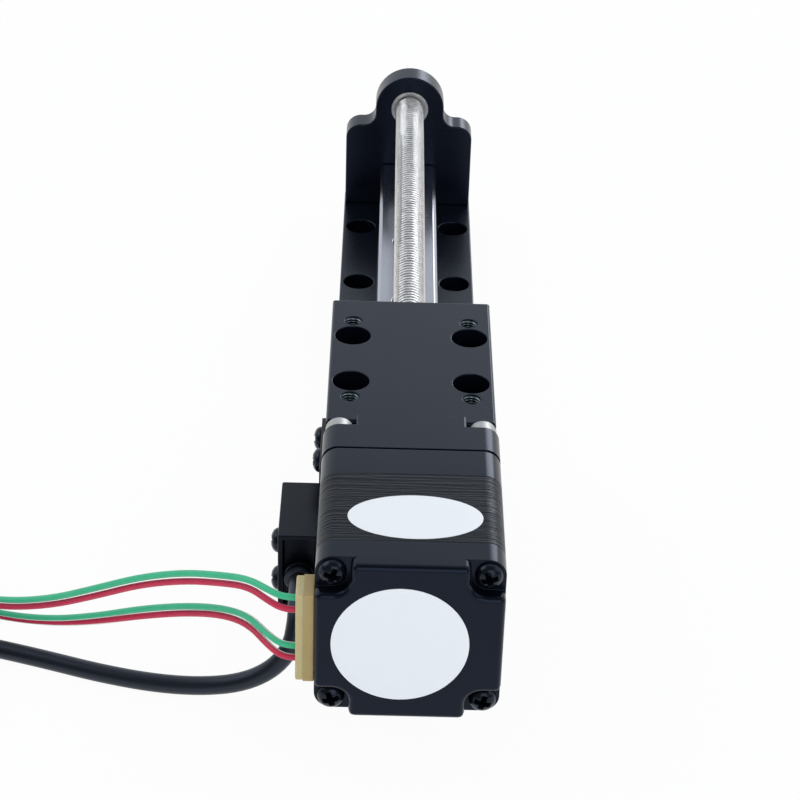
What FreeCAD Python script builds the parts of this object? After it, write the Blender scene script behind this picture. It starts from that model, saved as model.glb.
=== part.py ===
# Lead screw linear actuator: a square stepping motor turns a lead screw, and the nut carries a
# table along a miniature guide rail. +Y runs along the screw away from the motor, +Z is up,
# and the origin is the middle of the base plate's underside. Millimetres.
import FreeCAD
import Part
import Sketcher
import math
import os
from types import SimpleNamespace
from FreeCAD import Placement, Rotation, Vector

# Driving sizes. Each is written once, and every piece takes its size and place from them.
SIZES = {
    # base plate
    "base_length": 163.0,
    "base_width": 27.8,
    "base_thickness": 7.0,
    "seat_height": 1.7,
    "mount_row_pitch": 25.0,
    "mount_hole_spacing": 20.0,
    # guide rail and its block
    "rail_width": 12.0,
    "rail_height": 8.0,
    "rail_chamfer": 0.6,
    "rail_groove_low": 3.4,
    "rail_groove_high": 6.2,
    "rail_groove_depth": 0.8,
    "rail_end_gap": 0.3,
    "rail_hole_pitch": 25.0,
    "rail_counterbore_depth": 4.5,
    "guide_height": 13.0,
    "block_width": 27.0,
    "block_height": 10.0,
    "block_steel_length": 21.7,
    "end_cap_length": 5.7,
    "end_cap_inset": 0.3,
    "end_seal_length": 0.8,
    "end_seal_inset": 0.6,
    "guide_clearance": 0.25,
    # carriage table
    "table_length": 40.0,
    "table_width": 27.6,
    "table_height": 20.0,
    "table_edge": 0.35,
    "home_gap": 1.7,
    "table_screw_spacing_x": 20.0,
    "table_screw_spacing_y": 15.0,
    "table_screw_depth": 7.5,
    "tool_hole_spacing_x": 20.0,
    "tool_hole_spacing_y": 25.0,
    "tool_hole_depth": 8.0,
    "axis_above_block": 8.3,
    # lead screw and nut
    "screw_diameter": 6.0,
    "screw_clearance": 0.05,
    "screw_end_gap": 0.3,
    "nut_diameter": 9.0,
    "nut_length": 26.0,
    "nut_flange_diameter": 15.0,
    "nut_flange_thickness": 3.0,
    "nut_screw_circle": 11.6,
    # motor bracket
    "bracket_thickness": 9.7,
    "bracket_corner": 2.6,
    "bracket_bore": 14.0,
    "bracket_notch_depth": 3.0,
    "bracket_notch_width": 5.3,
    "bracket_notch_corner": 2.2,
    "bracket_screw_spacing": 16.0,
    # end plate
    "end_plate_thickness": 5.5,
    "end_plate_inset": 0.15,
    "end_shoulder_drop": 4.0,
    "end_bump_radius": 7.4,
    "end_corner": 3.2,
    "end_fillet": 2.6,
    "end_hole": 5.0,
    "end_screw_spacing": 18.0,
    "end_screw_set_in": 2.2,
    # motor
    "motor_width": 28.2,
    "motor_corner": 2.8,
    "front_cover_length": 7.4,
    "stator_length": 17.9,
    "rear_cover_length": 6.7,
    "case_screw_square": 23.0,
    "pilot_diameter": 22.0,
    "pilot_height": 2.0,
    "shaft_hole": 7.2,
    "corner_pocket_radius": 2.7,
    "corner_pocket_depth": 2.4,
    "yoke_radius": 11.2,
    "pole_width": 3.0,
    "shoe_radius": 8.0,
    "slot_opening": 1.4,
    "air_gap": 0.15,
    "rotor_radius": 6.8,
    "rotor_cup_length": 7.3,
    "rotor_tooth_depth": 0.5,
    "rotor_tooth_gap": 0.45,
    "magnet_radius": 5.6,
    "magnet_length": 2.4,
    "bobbin_wall": 0.3,
    "coil_thickness": 1.1,
    "coil_inner_radius": 8.3,
    "coil_outer_radius": 10.6,
    "coil_overhang": 1.6,
    "cavity_depth": 3.2,
    "hub_radius": 7.4,
    "bearing_set_back": 1.0,
    "washer_height": 0.4,
    "shaft_diameter": 5.0,
    # ball bearings
    "motor_bearing_outside": 11.0,
    "motor_bearing_width": 4.0,
    "end_bearing_outside": 8.0,
    "end_bearing_bore": 4.0,
    "end_bearing_width": 3.0,
    "race_thickness": 0.6,
    "shield_clearance": 0.15,
    "shield_thickness": 0.3,
    # motor connector
    "connector_set_in": 1.1,
    "connector_depth": 5.6,
    "connector_height": 16.0,
    "connector_drop": 0.25,
    "header_proud": 1.65,
    "header_wall": 0.55,
    "header_tongue": 1.8,
    "plug_proud": 1.15,
    "lead_pitch": 2.25,
    "pin_width": 0.5,
    # home sensor
    "sensor_thickness": 7.0,
    "sensor_length": 15.8,
    "sensor_height": 14.3,
    "sensor_drop": 4.5,
    "sensor_set_forward": 1.6,
    "sensor_slot_height": 5.0,
    "sensor_slot_depth": 8.2,
    "sensor_wall": 0.9,
    "sensor_recess_depth": 1.5,
    "sensor_edge": 0.4,
    "sensor_screw_inset": 4.0,
    "sensor_screw_high": 3.6,
    "sensor_screw_spacing": 7.6,
    "boot_diameter": 4.8,
    "boot_length": 2.7,
    # sensor flag
    "flag_thickness": 1.0,
    "flag_length": 15.9,
    "flag_rise": 2.1,
    "flag_sensor_gap": 0.7,
    "flag_leg_gap": 1.2,
    "flag_leg_width": 7.4,
    "flag_blade_near": 2.1,
    "flag_blade_far": 5.5,
    "flag_blade_reach": 6.8,
    "flag_screw_first": 6.0,
    "flag_screw_pitch": 6.6,
    # fasteners
    "cap_thread": 3.0,
    "cap_head": 5.5,
    "cap_head_height": 3.0,
    "cap_socket": 2.5,
    "cap_clearance_hole": 3.4,
    "cap_counterbore": 6.1,
    "cap_counterbore_depth": 3.4,
    "cap_bite": 4.0,
    "small_thread": 2.5,
    "small_head": 4.5,
    "small_head_height": 2.5,
    "small_socket": 2.0,
    "small_clearance_hole": 2.9,
    "small_counterbore": 4.9,
    "small_counterbore_depth": 2.9,
    "small_bite": 3.0,
    "pan_head": 4.1,
    "pan_head_height": 1.5,
    "mini_thread": 2.0,
    "mini_head": 4.1,
    "mini_head_height": 1.3,
    "mini_bite": 1.8,
    "nut_screw_head": 3.4,
    "fit": 0.02,
    # cords
    "lead_diameter": 1.05,
    "cable_diameter": 3.1,
    "lead_coil_radius": 8.95,
    "lead_coil_turns": 4.85,
    "cable_coil_radius": 19.4,
    "cable_coil_turns": 2.0,
    "cable_coil_layers": 2.0,
    "coil_spacing": 1.04,
}

MOUNT_ROWS = 6
RAIL_HOLES = 6
POLES = 8
ROTOR_TEETH = 50
CONNECTOR_WAYS = 6
NUT_SCREWS = 3

doc = FreeCAD.newDocument("linear_actuator")
sheet = doc.addObject("Spreadsheet::Sheet", "sizes")
for row, (name, value) in enumerate(SIZES.items(), start=1):
    sheet.set(f"A{row}", name)
    sheet.set(f"B{row}", str(value))
    sheet.setAlias(f"B{row}", name)
doc.recompute()


class Size:
    """A length that knows its value and the sheet expression that gives it."""

    def __init__(self, value, text):
        self.value = value
        self.text = text

    def __neg__(self):
        return Size(-self.value, f"(-1 * {self.text})")

    def __add__(self, other):
        other = size_of(other)
        return Size(self.value + other.value, f"({self.text} + {other.text})")

    def __sub__(self, other):
        other = size_of(other)
        return Size(self.value - other.value, f"({self.text} - {other.text})")

    def __mul__(self, factor):
        return Size(self.value * factor, f"({self.text} * {factor!r})")

    def __truediv__(self, divisor):
        return Size(self.value / divisor, f"({self.text} / {divisor!r})")

    def __radd__(self, other):
        return size_of(other) + self

    def __rsub__(self, other):
        return size_of(other) - self

    def __rmul__(self, factor):
        return self * factor


def size_of(number):
    """A plain number as a Size."""
    if isinstance(number, Size):
        return number
    return Size(float(number), f"({float(number)!r})")


d = SimpleNamespace(**{name: Size(float(sheet.get(name)), f"sizes.{name}") for name in SIZES})

# The finished sub-parts, by node name.
nodes = {}


def keep(label, piece):
    """Names a finished sub-part."""
    piece.Label = label
    nodes[label] = piece
    return piece


def bind(piece, setting, length):
    piece.setExpression(setting, size_of(length).text)


def place(piece, point, turn=Rotation()):
    """Puts a piece's own origin at a point, turned."""
    piece.Placement = Placement(Vector(), turn)
    for letter, length in zip("xyz", point):
        bind(piece, f"Placement.Base.{letter}", length)


# Part primitives and booleans.
ALONG = {
    "x": Rotation(Vector(0, 0, 1), Vector(1, 0, 0)),
    "y": Rotation(Vector(0, 0, 1), Vector(0, 1, 0)),
    "z": Rotation(),
}


def block(name, low, extent):
    """A box from its lowest corner and its three extents."""
    piece = doc.addObject("Part::Box", name)
    for setting, length in zip(("Length", "Width", "Height"), extent):
        bind(piece, setting, length)
    place(piece, low)
    return piece


def rod(name, axis, start, radius, length):
    """A cylinder from the middle of its first end, along +axis."""
    piece = doc.addObject("Part::Cylinder", name)
    bind(piece, "Radius", radius)
    bind(piece, "Height", length)
    place(piece, start, ALONG[axis])
    return piece


def hexagon(name, axis, start, across_flats, length):
    """A hexagonal bar from the middle of its first end, along +axis."""
    piece = doc.addObject("Part::Prism", name)
    piece.Polygon = 6
    bind(piece, "Circumradius", across_flats / (2 * math.cos(math.pi / 6)))
    bind(piece, "Height", length)
    place(piece, start, ALONG[axis])
    return piece


def fuse(name, pieces):
    piece = doc.addObject("Part::MultiFuse", name)
    piece.Shapes = pieces
    return piece


def cut(name, base, tools):
    piece = doc.addObject("Part::Cut", name)
    piece.Base = base
    piece.Tool = tools[0] if len(tools) == 1 else fuse(f"{name}_tools", tools)
    return piece


def group(name, pieces):
    """Separate solids that share one node."""
    piece = doc.addObject("Part::Compound", name)
    piece.Links = pieces
    return piece


# PartDesign bodies. A sketch lies across an axis at a level, and material is added or taken
# away from that level towards +axis. The sketch's normal points along -Y on the XZ plane.
PLANES = {"x": ("YZ_Plane", 1), "y": ("XZ_Plane", -1), "z": ("XY_Plane", 1)}


def new_body(name):
    return doc.addObject("PartDesign::Body", name)


def pin_point(sketch, geometry, point, place_at):
    """Holds a point of the sketch at two distances from the sketch's origin."""
    for kind, length in zip(("DistanceX", "DistanceY"), place_at):
        length = size_of(length)
        held = Sketcher.Constraint(kind, -1, 1, geometry, point, length.value)
        index = sketch.addConstraint(held)
        sketch.setExpression(f"Constraints[{index}]", length.text)


def outline(*corners):
    """A closed outline of straight sides through the corners."""

    def draw(sketch):
        first = sketch.GeometryCount
        count = len(corners)
        points = [Vector(size_of(u).value, size_of(v).value, 0) for u, v in corners]
        for i in range(count):
            sketch.addGeometry(Part.LineSegment(points[i], points[(i + 1) % count]))
        for i in range(count):
            joined = Sketcher.Constraint("Coincident", first + i, 2, first + (i + 1) % count, 1)
            sketch.addConstraint(joined)
        for i, corner in enumerate(corners):
            pin_point(sketch, first + i, 1, corner)

    return draw


def rectangle(low, high):
    return outline(low, (high[0], low[1]), high, (low[0], high[1]))


def circle(middle, radius):
    def draw(sketch):
        radius_size = size_of(radius)
        where = Vector(size_of(middle[0]).value, size_of(middle[1]).value, 0)
        round_one = Part.Circle(where, Vector(0, 0, 1), radius_size.value)
        index = sketch.addGeometry(round_one)
        pin_point(sketch, index, 3, middle)
        held = sketch.addConstraint(Sketcher.Constraint("Radius", index, radius_size.value))
        sketch.setExpression(f"Constraints[{held}]", radius_size.text)

    return draw


def draw_on(body, axis, level, shapes):
    role, sign = PLANES[axis]
    plane = next(f for f in body.Origin.OriginFeatures if f.Role == role)
    sketch = body.newObject("Sketcher::SketchObject", f"{body.Name}_sketch")
    sketch.AttachmentSupport = (plane, [""])
    sketch.MapMode = "FlatFace"
    bind(sketch, "AttachmentOffset.Base.z", size_of(level) * sign)
    for draw in shapes:
        draw(sketch)
    return sketch, sign


def pad(body, axis, level, length, *shapes):
    sketch, sign = draw_on(body, axis, level, shapes)
    feature = body.newObject("PartDesign::Pad", f"{body.Name}_pad")
    feature.Profile = sketch
    feature.Reversed = sign < 0
    bind(feature, "Length", length)
    return feature


def pocket(body, axis, level, length, *shapes):
    sketch, sign = draw_on(body, axis, level, shapes)
    feature = body.newObject("PartDesign::Pocket", f"{body.Name}_pocket")
    feature.Profile = sketch
    feature.Reversed = sign > 0
    bind(feature, "Length", length)
    return feature


NEAR = 0.001


def edges_at(shape, axis, places):
    """Names of the straight edges along an axis that pass through one of the places."""
    names = []
    first, second = [letter for letter in "xyz" if letter != axis]
    spots = [(size_of(u).value, size_of(v).value) for u, v in places]
    for index, edge in enumerate(shape.Edges, start=1):
        if len(edge.Vertexes) != 2:
            continue
        ends = [v.Point for v in edge.Vertexes]
        for u, v in spots:
            near_u = all(abs(getattr(p, first) - u) < NEAR for p in ends)
            near_v = all(abs(getattr(p, second) - v) < NEAR for p in ends)
            if near_u and near_v:
                names.append(f"Edge{index}")
    return names


def round_edges(body, kind, radius, axis, places):
    """A fillet or chamfer on straight edges of the body's last feature."""
    doc.recompute()
    last = body.Tip
    names = edges_at(last.Shape, axis, places)
    if len(names) < len(places):
        raise ValueError(f"{body.Name}: {len(names)} edges found of {len(places)}")
    feature = body.newObject(f"PartDesign::{kind}", f"{body.Name}_{kind.lower()}")
    feature.Base = (last, names)
    bind(feature, "Radius" if kind == "Fillet" else "Size", radius)
    return feature


def four_corners(spacing_u, spacing_v, middle=(0, 0)):
    """The corners of a rectangle round a middle."""
    return [
        (middle[0] + spacing_u * (i / 2), middle[1] + spacing_v * (j / 2))
        for i in (-1, 1)
        for j in (-1, 1)
    ]


def evenly(middle, pitch, count):
    """Places along a line, centred on its middle."""
    return [middle + pitch * (k - (count - 1) / 2) for k in range(count)]


def screw_set(label, axis, way, seats, thread, head, head_height, length, socket=None):
    """Screws whose heads bear on the seats and whose shanks point along way * axis."""
    letter = "xyz".index(axis)
    made = []
    for number, seat in enumerate(seats):
        name = f"{label}_{number}"
        shank_start = list(seat)
        head_start = list(seat)
        if way > 0:
            head_start[letter] = seat[letter] - head_height
        else:
            shank_start[letter] = seat[letter] - length
        shank = rod(f"{name}_shank", axis, shank_start, thread / 2, length)
        top = rod(f"{name}_head", axis, head_start, head / 2, head_height)
        screw = fuse(name, [top, shank])
        if socket is not None:
            socket_start = list(head_start)
            if way < 0:
                socket_start[letter] = head_start[letter] + head_height / 2
            hole = hexagon(f"{name}_hex", axis, socket_start, socket, head_height / 2)
            screw = cut(f"{name}_cut", screw, [hole])
        made.append(screw)
    return keep(label, group(label, made))


# Levels along the screw and heights above the base plate's underside.
motor_face = -d.base_length / 2
stator_front = motor_face - d.front_cover_length
stator_rear = stator_front - d.stator_length
motor_rear = stator_rear - d.rear_cover_length
bracket_far = motor_face + d.bracket_thickness
end_near = d.base_length / 2 - d.end_plate_thickness
rail_start = bracket_far + d.rail_end_gap
rail_length = end_near - d.rail_end_gap - rail_start
rail_middle = (bracket_far + end_near) / 2
table_start = bracket_far + d.home_gap
table_middle = table_start + d.table_length / 2
table_end = table_start + d.table_length

base_top = d.base_thickness
rail_seat = base_top + d.seat_height
rail_top = rail_seat + d.rail_height
block_top = rail_seat + d.guide_height
block_bottom = block_top - d.block_height
table_top = block_top + d.table_height
screw_axis = block_top + d.axis_above_block
motor_half = d.motor_width / 2
mount_rows = evenly(rail_middle, d.mount_row_pitch, MOUNT_ROWS)
rail_rows = evenly(rail_middle, d.rail_hole_pitch, RAIL_HOLES)
corner_screws = four_corners(d.case_screw_square, d.case_screw_square, (0, screw_axis))

# Base plate: machined bar with a raised seat for the rail, two rows of counterbored holes to
# bolt it down, and holes from below for the screws of the bracket and the end plate.
base = new_body("base_plate")
base_half = d.base_width / 2
pad(base, "z", 0, d.base_thickness, rectangle((-base_half, motor_face), (base_half, d.base_length / 2)))
seat_side = d.rail_width / 2
pad(
    base,
    "z",
    base_top,
    d.seat_height,
    rectangle((-seat_side, rail_start), (seat_side, rail_start + rail_length)),
)
mount_places = [(d.mount_hole_spacing * side, y) for y in mount_rows for side in (-0.5, 0.5)]
clear_radius = d.cap_clearance_hole / 2
sink_radius = d.cap_counterbore / 2
sink_floor = base_top - d.cap_counterbore_depth
pocket(base, "z", 0, base_top, *[circle(p, clear_radius) for p in mount_places])
pocket(base, "z", sink_floor, d.cap_counterbore_depth, *[circle(p, sink_radius) for p in mount_places])
rail_screw_length = d.rail_height - d.rail_counterbore_depth + d.cap_bite
tap_radius = d.cap_thread / 2 + d.fit
pocket(base, "z", rail_seat - d.cap_bite, d.cap_bite, *[circle((0, y), tap_radius) for y in rail_rows])
bracket_screw_y = motor_face + d.bracket_thickness / 2
bracket_screw_places = [(d.bracket_screw_spacing * side, bracket_screw_y) for side in (-0.5, 0.5)]
pocket(base, "z", 0, base_top, *[circle(p, clear_radius) for p in bracket_screw_places])
pocket(base, "z", 0, d.cap_counterbore_depth, *[circle(p, sink_radius) for p in bracket_screw_places])
end_screw_y = end_near + d.end_screw_set_in
end_screw_places = [(d.end_screw_spacing * side, end_screw_y) for side in (-0.5, 0.5)]
small_clear = d.small_clearance_hole / 2
small_sink = d.small_counterbore / 2
pocket(base, "z", 0, base_top, *[circle(p, small_clear) for p in end_screw_places])
pocket(base, "z", 0, d.small_counterbore_depth, *[circle(p, small_sink) for p in end_screw_places])
keep("base_plate", base)

# Guide rail: ground steel bar with a ball groove in each side and a row of counterbored holes.
rail_half = d.rail_width / 2
groove_low = rail_seat + d.rail_groove_low
groove_high = rail_seat + d.rail_groove_high
groove_side = rail_half - d.rail_groove_depth
right_side = [
    (rail_half, rail_seat),
    (rail_half, groove_low),
    (groove_side, groove_low + d.rail_groove_depth),
    (groove_side, groove_high - d.rail_groove_depth),
    (rail_half, groove_high),
    (rail_half, rail_top - d.rail_chamfer),
    (rail_half - d.rail_chamfer, rail_top),
]
left_side = [(-x, z) for x, z in reversed(right_side)]
rail = new_body("guide_rail")
pad(rail, "y", rail_start, rail_length, outline(*right_side, *left_side))
pocket(rail, "z", rail_seat, d.rail_height, *[circle((0, y), clear_radius) for y in rail_rows])
rail_sink = rail_top - d.rail_counterbore_depth
rail_sinks = [circle((0, y), sink_radius) for y in rail_rows]
pocket(rail, "z", rail_sink, d.rail_counterbore_depth, *rail_sinks)
keep("guide_rail", rail)
screw_set(
    "rail_screws",
    "z",
    -1,
    [(0, y, rail_sink) for y in rail_rows],
    d.cap_thread,
    d.cap_head,
    d.cap_head_height,
    rail_screw_length,
    d.cap_socket,
)


# Guide block: steel saddle whose ridges run in the rail's grooves, closed at both ends by
# plastic caps that turn the balls round, and by thin wiper seals.
def saddle(name, inset, start, length):
    """An inverted U over the rail, following its grooves at the guide clearance."""
    gap = d.guide_clearance
    slope_gap = gap * math.tan(math.pi / 8)
    side = d.block_width / 2 - inset
    inner = [
        (rail_half + gap, block_bottom + inset),
        (rail_half + gap, groove_low + slope_gap),
        (groove_side + gap, groove_low + d.rail_groove_depth + slope_gap),
        (groove_side + gap, groove_high - d.rail_groove_depth - slope_gap),
        (rail_half + gap, groove_high - slope_gap),
        (rail_half + gap, rail_top + gap),
    ]
    mirrored = [(-x, z) for x, z in reversed(inner)]
    outer = [
        (-side, block_bottom + inset),
        (-side, block_top - inset),
        (side, block_top - inset),
        (side, block_bottom + inset),
    ]
    body = new_body(name)
    pad(body, "y", start, length, outline(*inner, *mirrored, *outer))
    return keep(name, body)


steel_start = table_middle - d.block_steel_length / 2
steel_end = table_middle + d.block_steel_length / 2
guide_block = saddle("guide_block", 0, steel_start, d.block_steel_length)
table_screw_places = four_corners(d.table_screw_spacing_x, d.table_screw_spacing_y, (0, table_middle))
block_taps = [circle(p, tap_radius) for p in table_screw_places]
pocket(guide_block, "z", block_top - d.cap_bite, d.cap_bite, *block_taps)
saddle("block_rear_cap", d.end_cap_inset, steel_start - d.end_cap_length, d.end_cap_length)
saddle("block_front_cap", d.end_cap_inset, steel_end, d.end_cap_length)
rear_seal_start = steel_start - d.end_cap_length - d.end_seal_length
saddle("block_rear_seal", d.end_seal_inset, rear_seal_start, d.end_seal_length)
saddle("block_front_seal", d.end_seal_inset, steel_end + d.end_cap_length, d.end_seal_length)

# Carriage table: aluminium block on the guide block. Four screws go down through it into the
# block, four threaded holes take the load, and the nut sits in a bore along the screw's axis.
table = new_body("carriage_table")
table_half = d.table_width / 2
table_low = (-table_half, table_start)
table_high = (table_half, table_end)
pad(table, "z", block_top, d.table_height, rectangle(table_low, table_high))
round_edges(table, "Chamfer", d.table_edge, "y", [(-table_half, table_top), (table_half, table_top)])
round_edges(table, "Chamfer", d.table_edge, "x", [(table_start, table_top), (table_end, table_top)])
axis_spot = (0, screw_axis)
nut_bore = d.nut_diameter / 2 + d.fit
flange_floor = table_end - d.nut_flange_thickness
flange_bore = d.nut_flange_diameter / 2 + d.fit
pocket(table, "y", table_start, d.table_length, circle(axis_spot, nut_bore))
pocket(table, "y", flange_floor, d.nut_flange_thickness, circle(axis_spot, flange_bore))
table_sink = table_top - d.table_screw_depth
table_clear = [circle(p, clear_radius) for p in table_screw_places]
table_sinks = [circle(p, sink_radius) for p in table_screw_places]
pocket(table, "z", block_top, d.table_height, *table_clear)
pocket(table, "z", table_sink, d.table_screw_depth, *table_sinks)
tool_places = four_corners(d.tool_hole_spacing_x, d.tool_hole_spacing_y, (0, table_middle))
tool_holes = [circle(p, d.cap_thread / 2) for p in tool_places]
pocket(table, "z", table_top - d.tool_hole_depth, d.tool_hole_depth, *tool_holes)
nut_screw_spots = []
for k in range(NUT_SCREWS):
    turn = math.pi / 2 + 2 * math.pi * k / NUT_SCREWS
    spot_x = d.nut_screw_circle * (math.cos(turn) / 2)
    spot_z = screw_axis + d.nut_screw_circle * (math.sin(turn) / 2)
    nut_screw_spots.append((spot_x, spot_z))
nut_taps = [circle(p, d.mini_thread / 2 + d.fit) for p in nut_screw_spots]
nut_bite = d.mini_bite * 2
pocket(table, "y", flange_floor - nut_bite, nut_bite, *nut_taps)
flag_screw_ys = [table_start + d.flag_screw_first + d.flag_screw_pitch * k for k in range(2)]
flag_taps = [circle((y, screw_axis), d.mini_thread / 2 + d.fit) for y in flag_screw_ys]
pocket(table, "x", -table_half, d.mini_bite, *flag_taps)
keep("carriage_table", table)
screw_set(
    "table_screws",
    "z",
    -1,
    [(x, y, table_sink) for x, y in table_screw_places],
    d.cap_thread,
    d.cap_head,
    d.cap_head_height,
    d.table_height - d.table_screw_depth + d.cap_bite,
    d.cap_socket,
)

# Lead nut: flanged bush in the table, held by small screws through its flange.
flange_start = (0, flange_floor, screw_axis)
nut_start = (0, table_end - d.nut_length, screw_axis)
nut_body = rod("nut_body", "y", nut_start, d.nut_diameter / 2, d.nut_length)
nut_flange = rod("nut_flange", "y", flange_start, d.nut_flange_diameter / 2, d.nut_flange_thickness)
nut_thread_radius = d.screw_diameter / 2 + d.screw_clearance
nut_tools = [rod("nut_thread", "y", nut_start, nut_thread_radius, d.nut_length)]
for k, (x, z) in enumerate(nut_screw_spots):
    hole_radius = d.mini_thread / 2 + d.fit
    nut_tools.append(rod(f"nut_hole_{k}", "y", (x, flange_floor, z), hole_radius, d.nut_flange_thickness))
keep("lead_nut", cut("lead_nut", fuse("nut_blank", [nut_body, nut_flange]), nut_tools))
screw_set(
    "nut_screws",
    "y",
    -1,
    [(x, table_end, z) for x, z in nut_screw_spots],
    d.mini_thread,
    d.nut_screw_head,
    d.mini_head_height,
    d.nut_flange_thickness + nut_bite,
)

# Motor bracket: plate that stands on the base plate and carries the motor. The upper corners
# are notched at the far side so that the heads of the motor's screws sit inside the outline.
bracket = new_body("motor_bracket")
bracket_top = screw_axis + motor_half
bracket_low = (-motor_half, base_top)
pad(bracket, "y", motor_face, d.bracket_thickness, rectangle(bracket_low, (motor_half, bracket_top)))
top_corners = [(-motor_half, bracket_top), (motor_half, bracket_top)]
round_edges(bracket, "Fillet", d.bracket_corner, "y", top_corners)
pocket(bracket, "y", motor_face, d.bracket_thickness, circle(axis_spot, d.bracket_bore / 2))
pilot_bore = d.pilot_diameter / 2 + d.fit
pocket(bracket, "y", motor_face, d.pilot_height, circle(axis_spot, pilot_bore))
small_hole = d.small_thread / 2 + d.fit
bracket_holes = [circle(p, small_hole) for p in corner_screws]
pocket(bracket, "y", motor_face, d.bracket_thickness, *bracket_holes)
notch_floor = bracket_far - d.bracket_notch_depth
low_corner_screws = [p for p in corner_screws if p[1].value < screw_axis.value]
low_sinks = [circle(p, small_sink) for p in low_corner_screws]
pocket(bracket, "y", notch_floor, d.bracket_notch_depth, *low_sinks)
notch_side = motor_half - d.bracket_notch_width
notch_low = bracket_top - d.bracket_notch_width
right_notch = rectangle((notch_side, notch_low), (motor_half, bracket_top))
left_notch = rectangle((-motor_half, notch_low), (-notch_side, bracket_top))
pocket(bracket, "y", notch_floor, d.bracket_notch_depth, left_notch, right_notch)
notch_corners = [(-notch_side, notch_low), (notch_side, notch_low)]
round_edges(bracket, "Fillet", d.bracket_notch_corner, "y", notch_corners)
bracket_bite = d.cap_bite + d.cap_thread / 2
under_bracket = [circle(p, tap_radius) for p in bracket_screw_places]
pocket(bracket, "z", base_top, bracket_bite, *under_bracket)
sensor_rear = motor_face + d.sensor_set_forward
sensor_top = screw_axis - d.sensor_drop
sensor_screw_y = sensor_rear + d.sensor_screw_inset
sensor_screw_z = sensor_top - d.sensor_screw_high
sensor_screw_spots = [
    (sensor_screw_y, sensor_screw_z),
    (sensor_screw_y, sensor_screw_z - d.sensor_screw_spacing),
]
sensor_taps = [circle(p, d.mini_thread / 2 + d.fit) for p in sensor_screw_spots]
pocket(bracket, "x", -motor_half, d.mini_bite, *sensor_taps)
keep("motor_bracket", bracket)
screw_set(
    "bracket_screws",
    "z",
    1,
    [(x, y, d.cap_counterbore_depth) for x, y in bracket_screw_places],
    d.cap_thread,
    d.cap_head,
    d.cap_head_height,
    base_top - d.cap_counterbore_depth + bracket_bite,
    d.cap_socket,
)

# End plate: shouldered plate with a round bump about the screw's axis, which holds the bearing.
end_plate = new_body("end_plate")
shoulder = screw_axis - d.end_shoulder_drop
plate_half = d.base_width / 2 - d.end_plate_inset
bump = d.end_bump_radius
plate_low = (-plate_half, base_top)
pad(end_plate, "y", end_near, d.end_plate_thickness, rectangle(plate_low, (plate_half, shoulder)))
shoulder_corners = [(-plate_half, shoulder), (plate_half, shoulder)]
round_edges(end_plate, "Fillet", d.end_corner, "y", shoulder_corners)
neck = rectangle((-bump, shoulder), (bump, screw_axis))
pad(end_plate, "y", end_near, d.end_plate_thickness, neck)
pad(end_plate, "y", end_near, d.end_plate_thickness, circle(axis_spot, bump))
round_edges(end_plate, "Fillet", d.end_fillet, "y", [(-bump, shoulder), (bump, shoulder)])
pocket(end_plate, "y", end_near, d.end_plate_thickness, circle(axis_spot, d.end_hole / 2))
end_seat = d.end_bearing_outside / 2 + d.fit
pocket(end_plate, "y", end_near, d.end_bearing_width, circle(axis_spot, end_seat))
end_bite = d.small_bite + d.small_thread / 2
under_end = [circle(p, small_hole) for p in end_screw_places]
pocket(end_plate, "z", base_top, end_bite, *under_end)
keep("end_plate", end_plate)
screw_set(
    "end_plate_screws",
    "z",
    1,
    [(x, y, d.small_counterbore_depth) for x, y in end_screw_places],
    d.small_thread,
    d.small_head,
    d.small_head_height,
    base_top - d.small_counterbore_depth + end_bite,
    d.small_socket,
)


# Ball bearings: an outer and an inner race, with a thin shield over the balls at each side.
shields = []


def ring(name, start, outer, inner, length):
    """A plain ring along the screw's axis."""
    disc = rod(f"{name}_disc", "y", start, outer, length)
    return cut(name, disc, [rod(f"{name}_hole", "y", start, inner, length)])


def bearing(label, near, bore, outside, width):
    """The two races as nodes of their own, and the shields, which stand clear of the inner race."""
    start = (0, near, screw_axis)
    outer_inside = outside / 2 - d.race_thickness
    inner_outside = bore / 2 + d.race_thickness
    keep(f"{label}_outer_race", ring(f"{label}_outer_race", start, outside / 2, outer_inside, width))
    keep(f"{label}_inner_race", ring(f"{label}_inner_race", start, inner_outside, bore / 2, width))
    shield_inside = inner_outside + d.shield_clearance
    for side, place_y in (("near", near), ("far", near + width - d.shield_thickness)):
        at = (0, place_y, screw_axis)
        name = f"{label}_{side}_shield"
        shields.append(ring(name, at, outer_inside, shield_inside, d.shield_thickness))


front_bearing_start = stator_front + d.bearing_set_back
rear_bearing_start = stator_rear - d.bearing_set_back - d.motor_bearing_width
shaft_bore = d.shaft_diameter + d.fit * 2
motor_bearing = (shaft_bore, d.motor_bearing_outside, d.motor_bearing_width)
bearing("front_bearing", front_bearing_start, *motor_bearing)
bearing("rear_bearing", rear_bearing_start, *motor_bearing)
bearing("end_bearing", end_near, d.end_bearing_bore, d.end_bearing_outside, d.end_bearing_width)
keep("bearing_shields", group("bearing_shields", shields))

# Lead screw: one bar, with the motor's shaft turned on one end and a journal on the other.
shaft_start = rear_bearing_start
screw_start = front_bearing_start + d.motor_bearing_width + d.screw_end_gap
screw_end = end_near - d.screw_end_gap
journal_radius = d.end_bearing_bore / 2 - d.fit
shaft = rod(
    "motor_shaft",
    "y",
    (0, shaft_start, screw_axis),
    d.shaft_diameter / 2,
    screw_start - shaft_start,
)
thread = rod("screw_thread", "y", (0, screw_start, screw_axis), d.screw_diameter / 2, screw_end - screw_start)
journal_length = end_near + d.end_bearing_width - screw_end
journal = rod("screw_journal", "y", (0, screw_end, screw_axis), journal_radius, journal_length)
keep("lead_screw", fuse("lead_screw", [shaft, thread, journal]))


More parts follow.
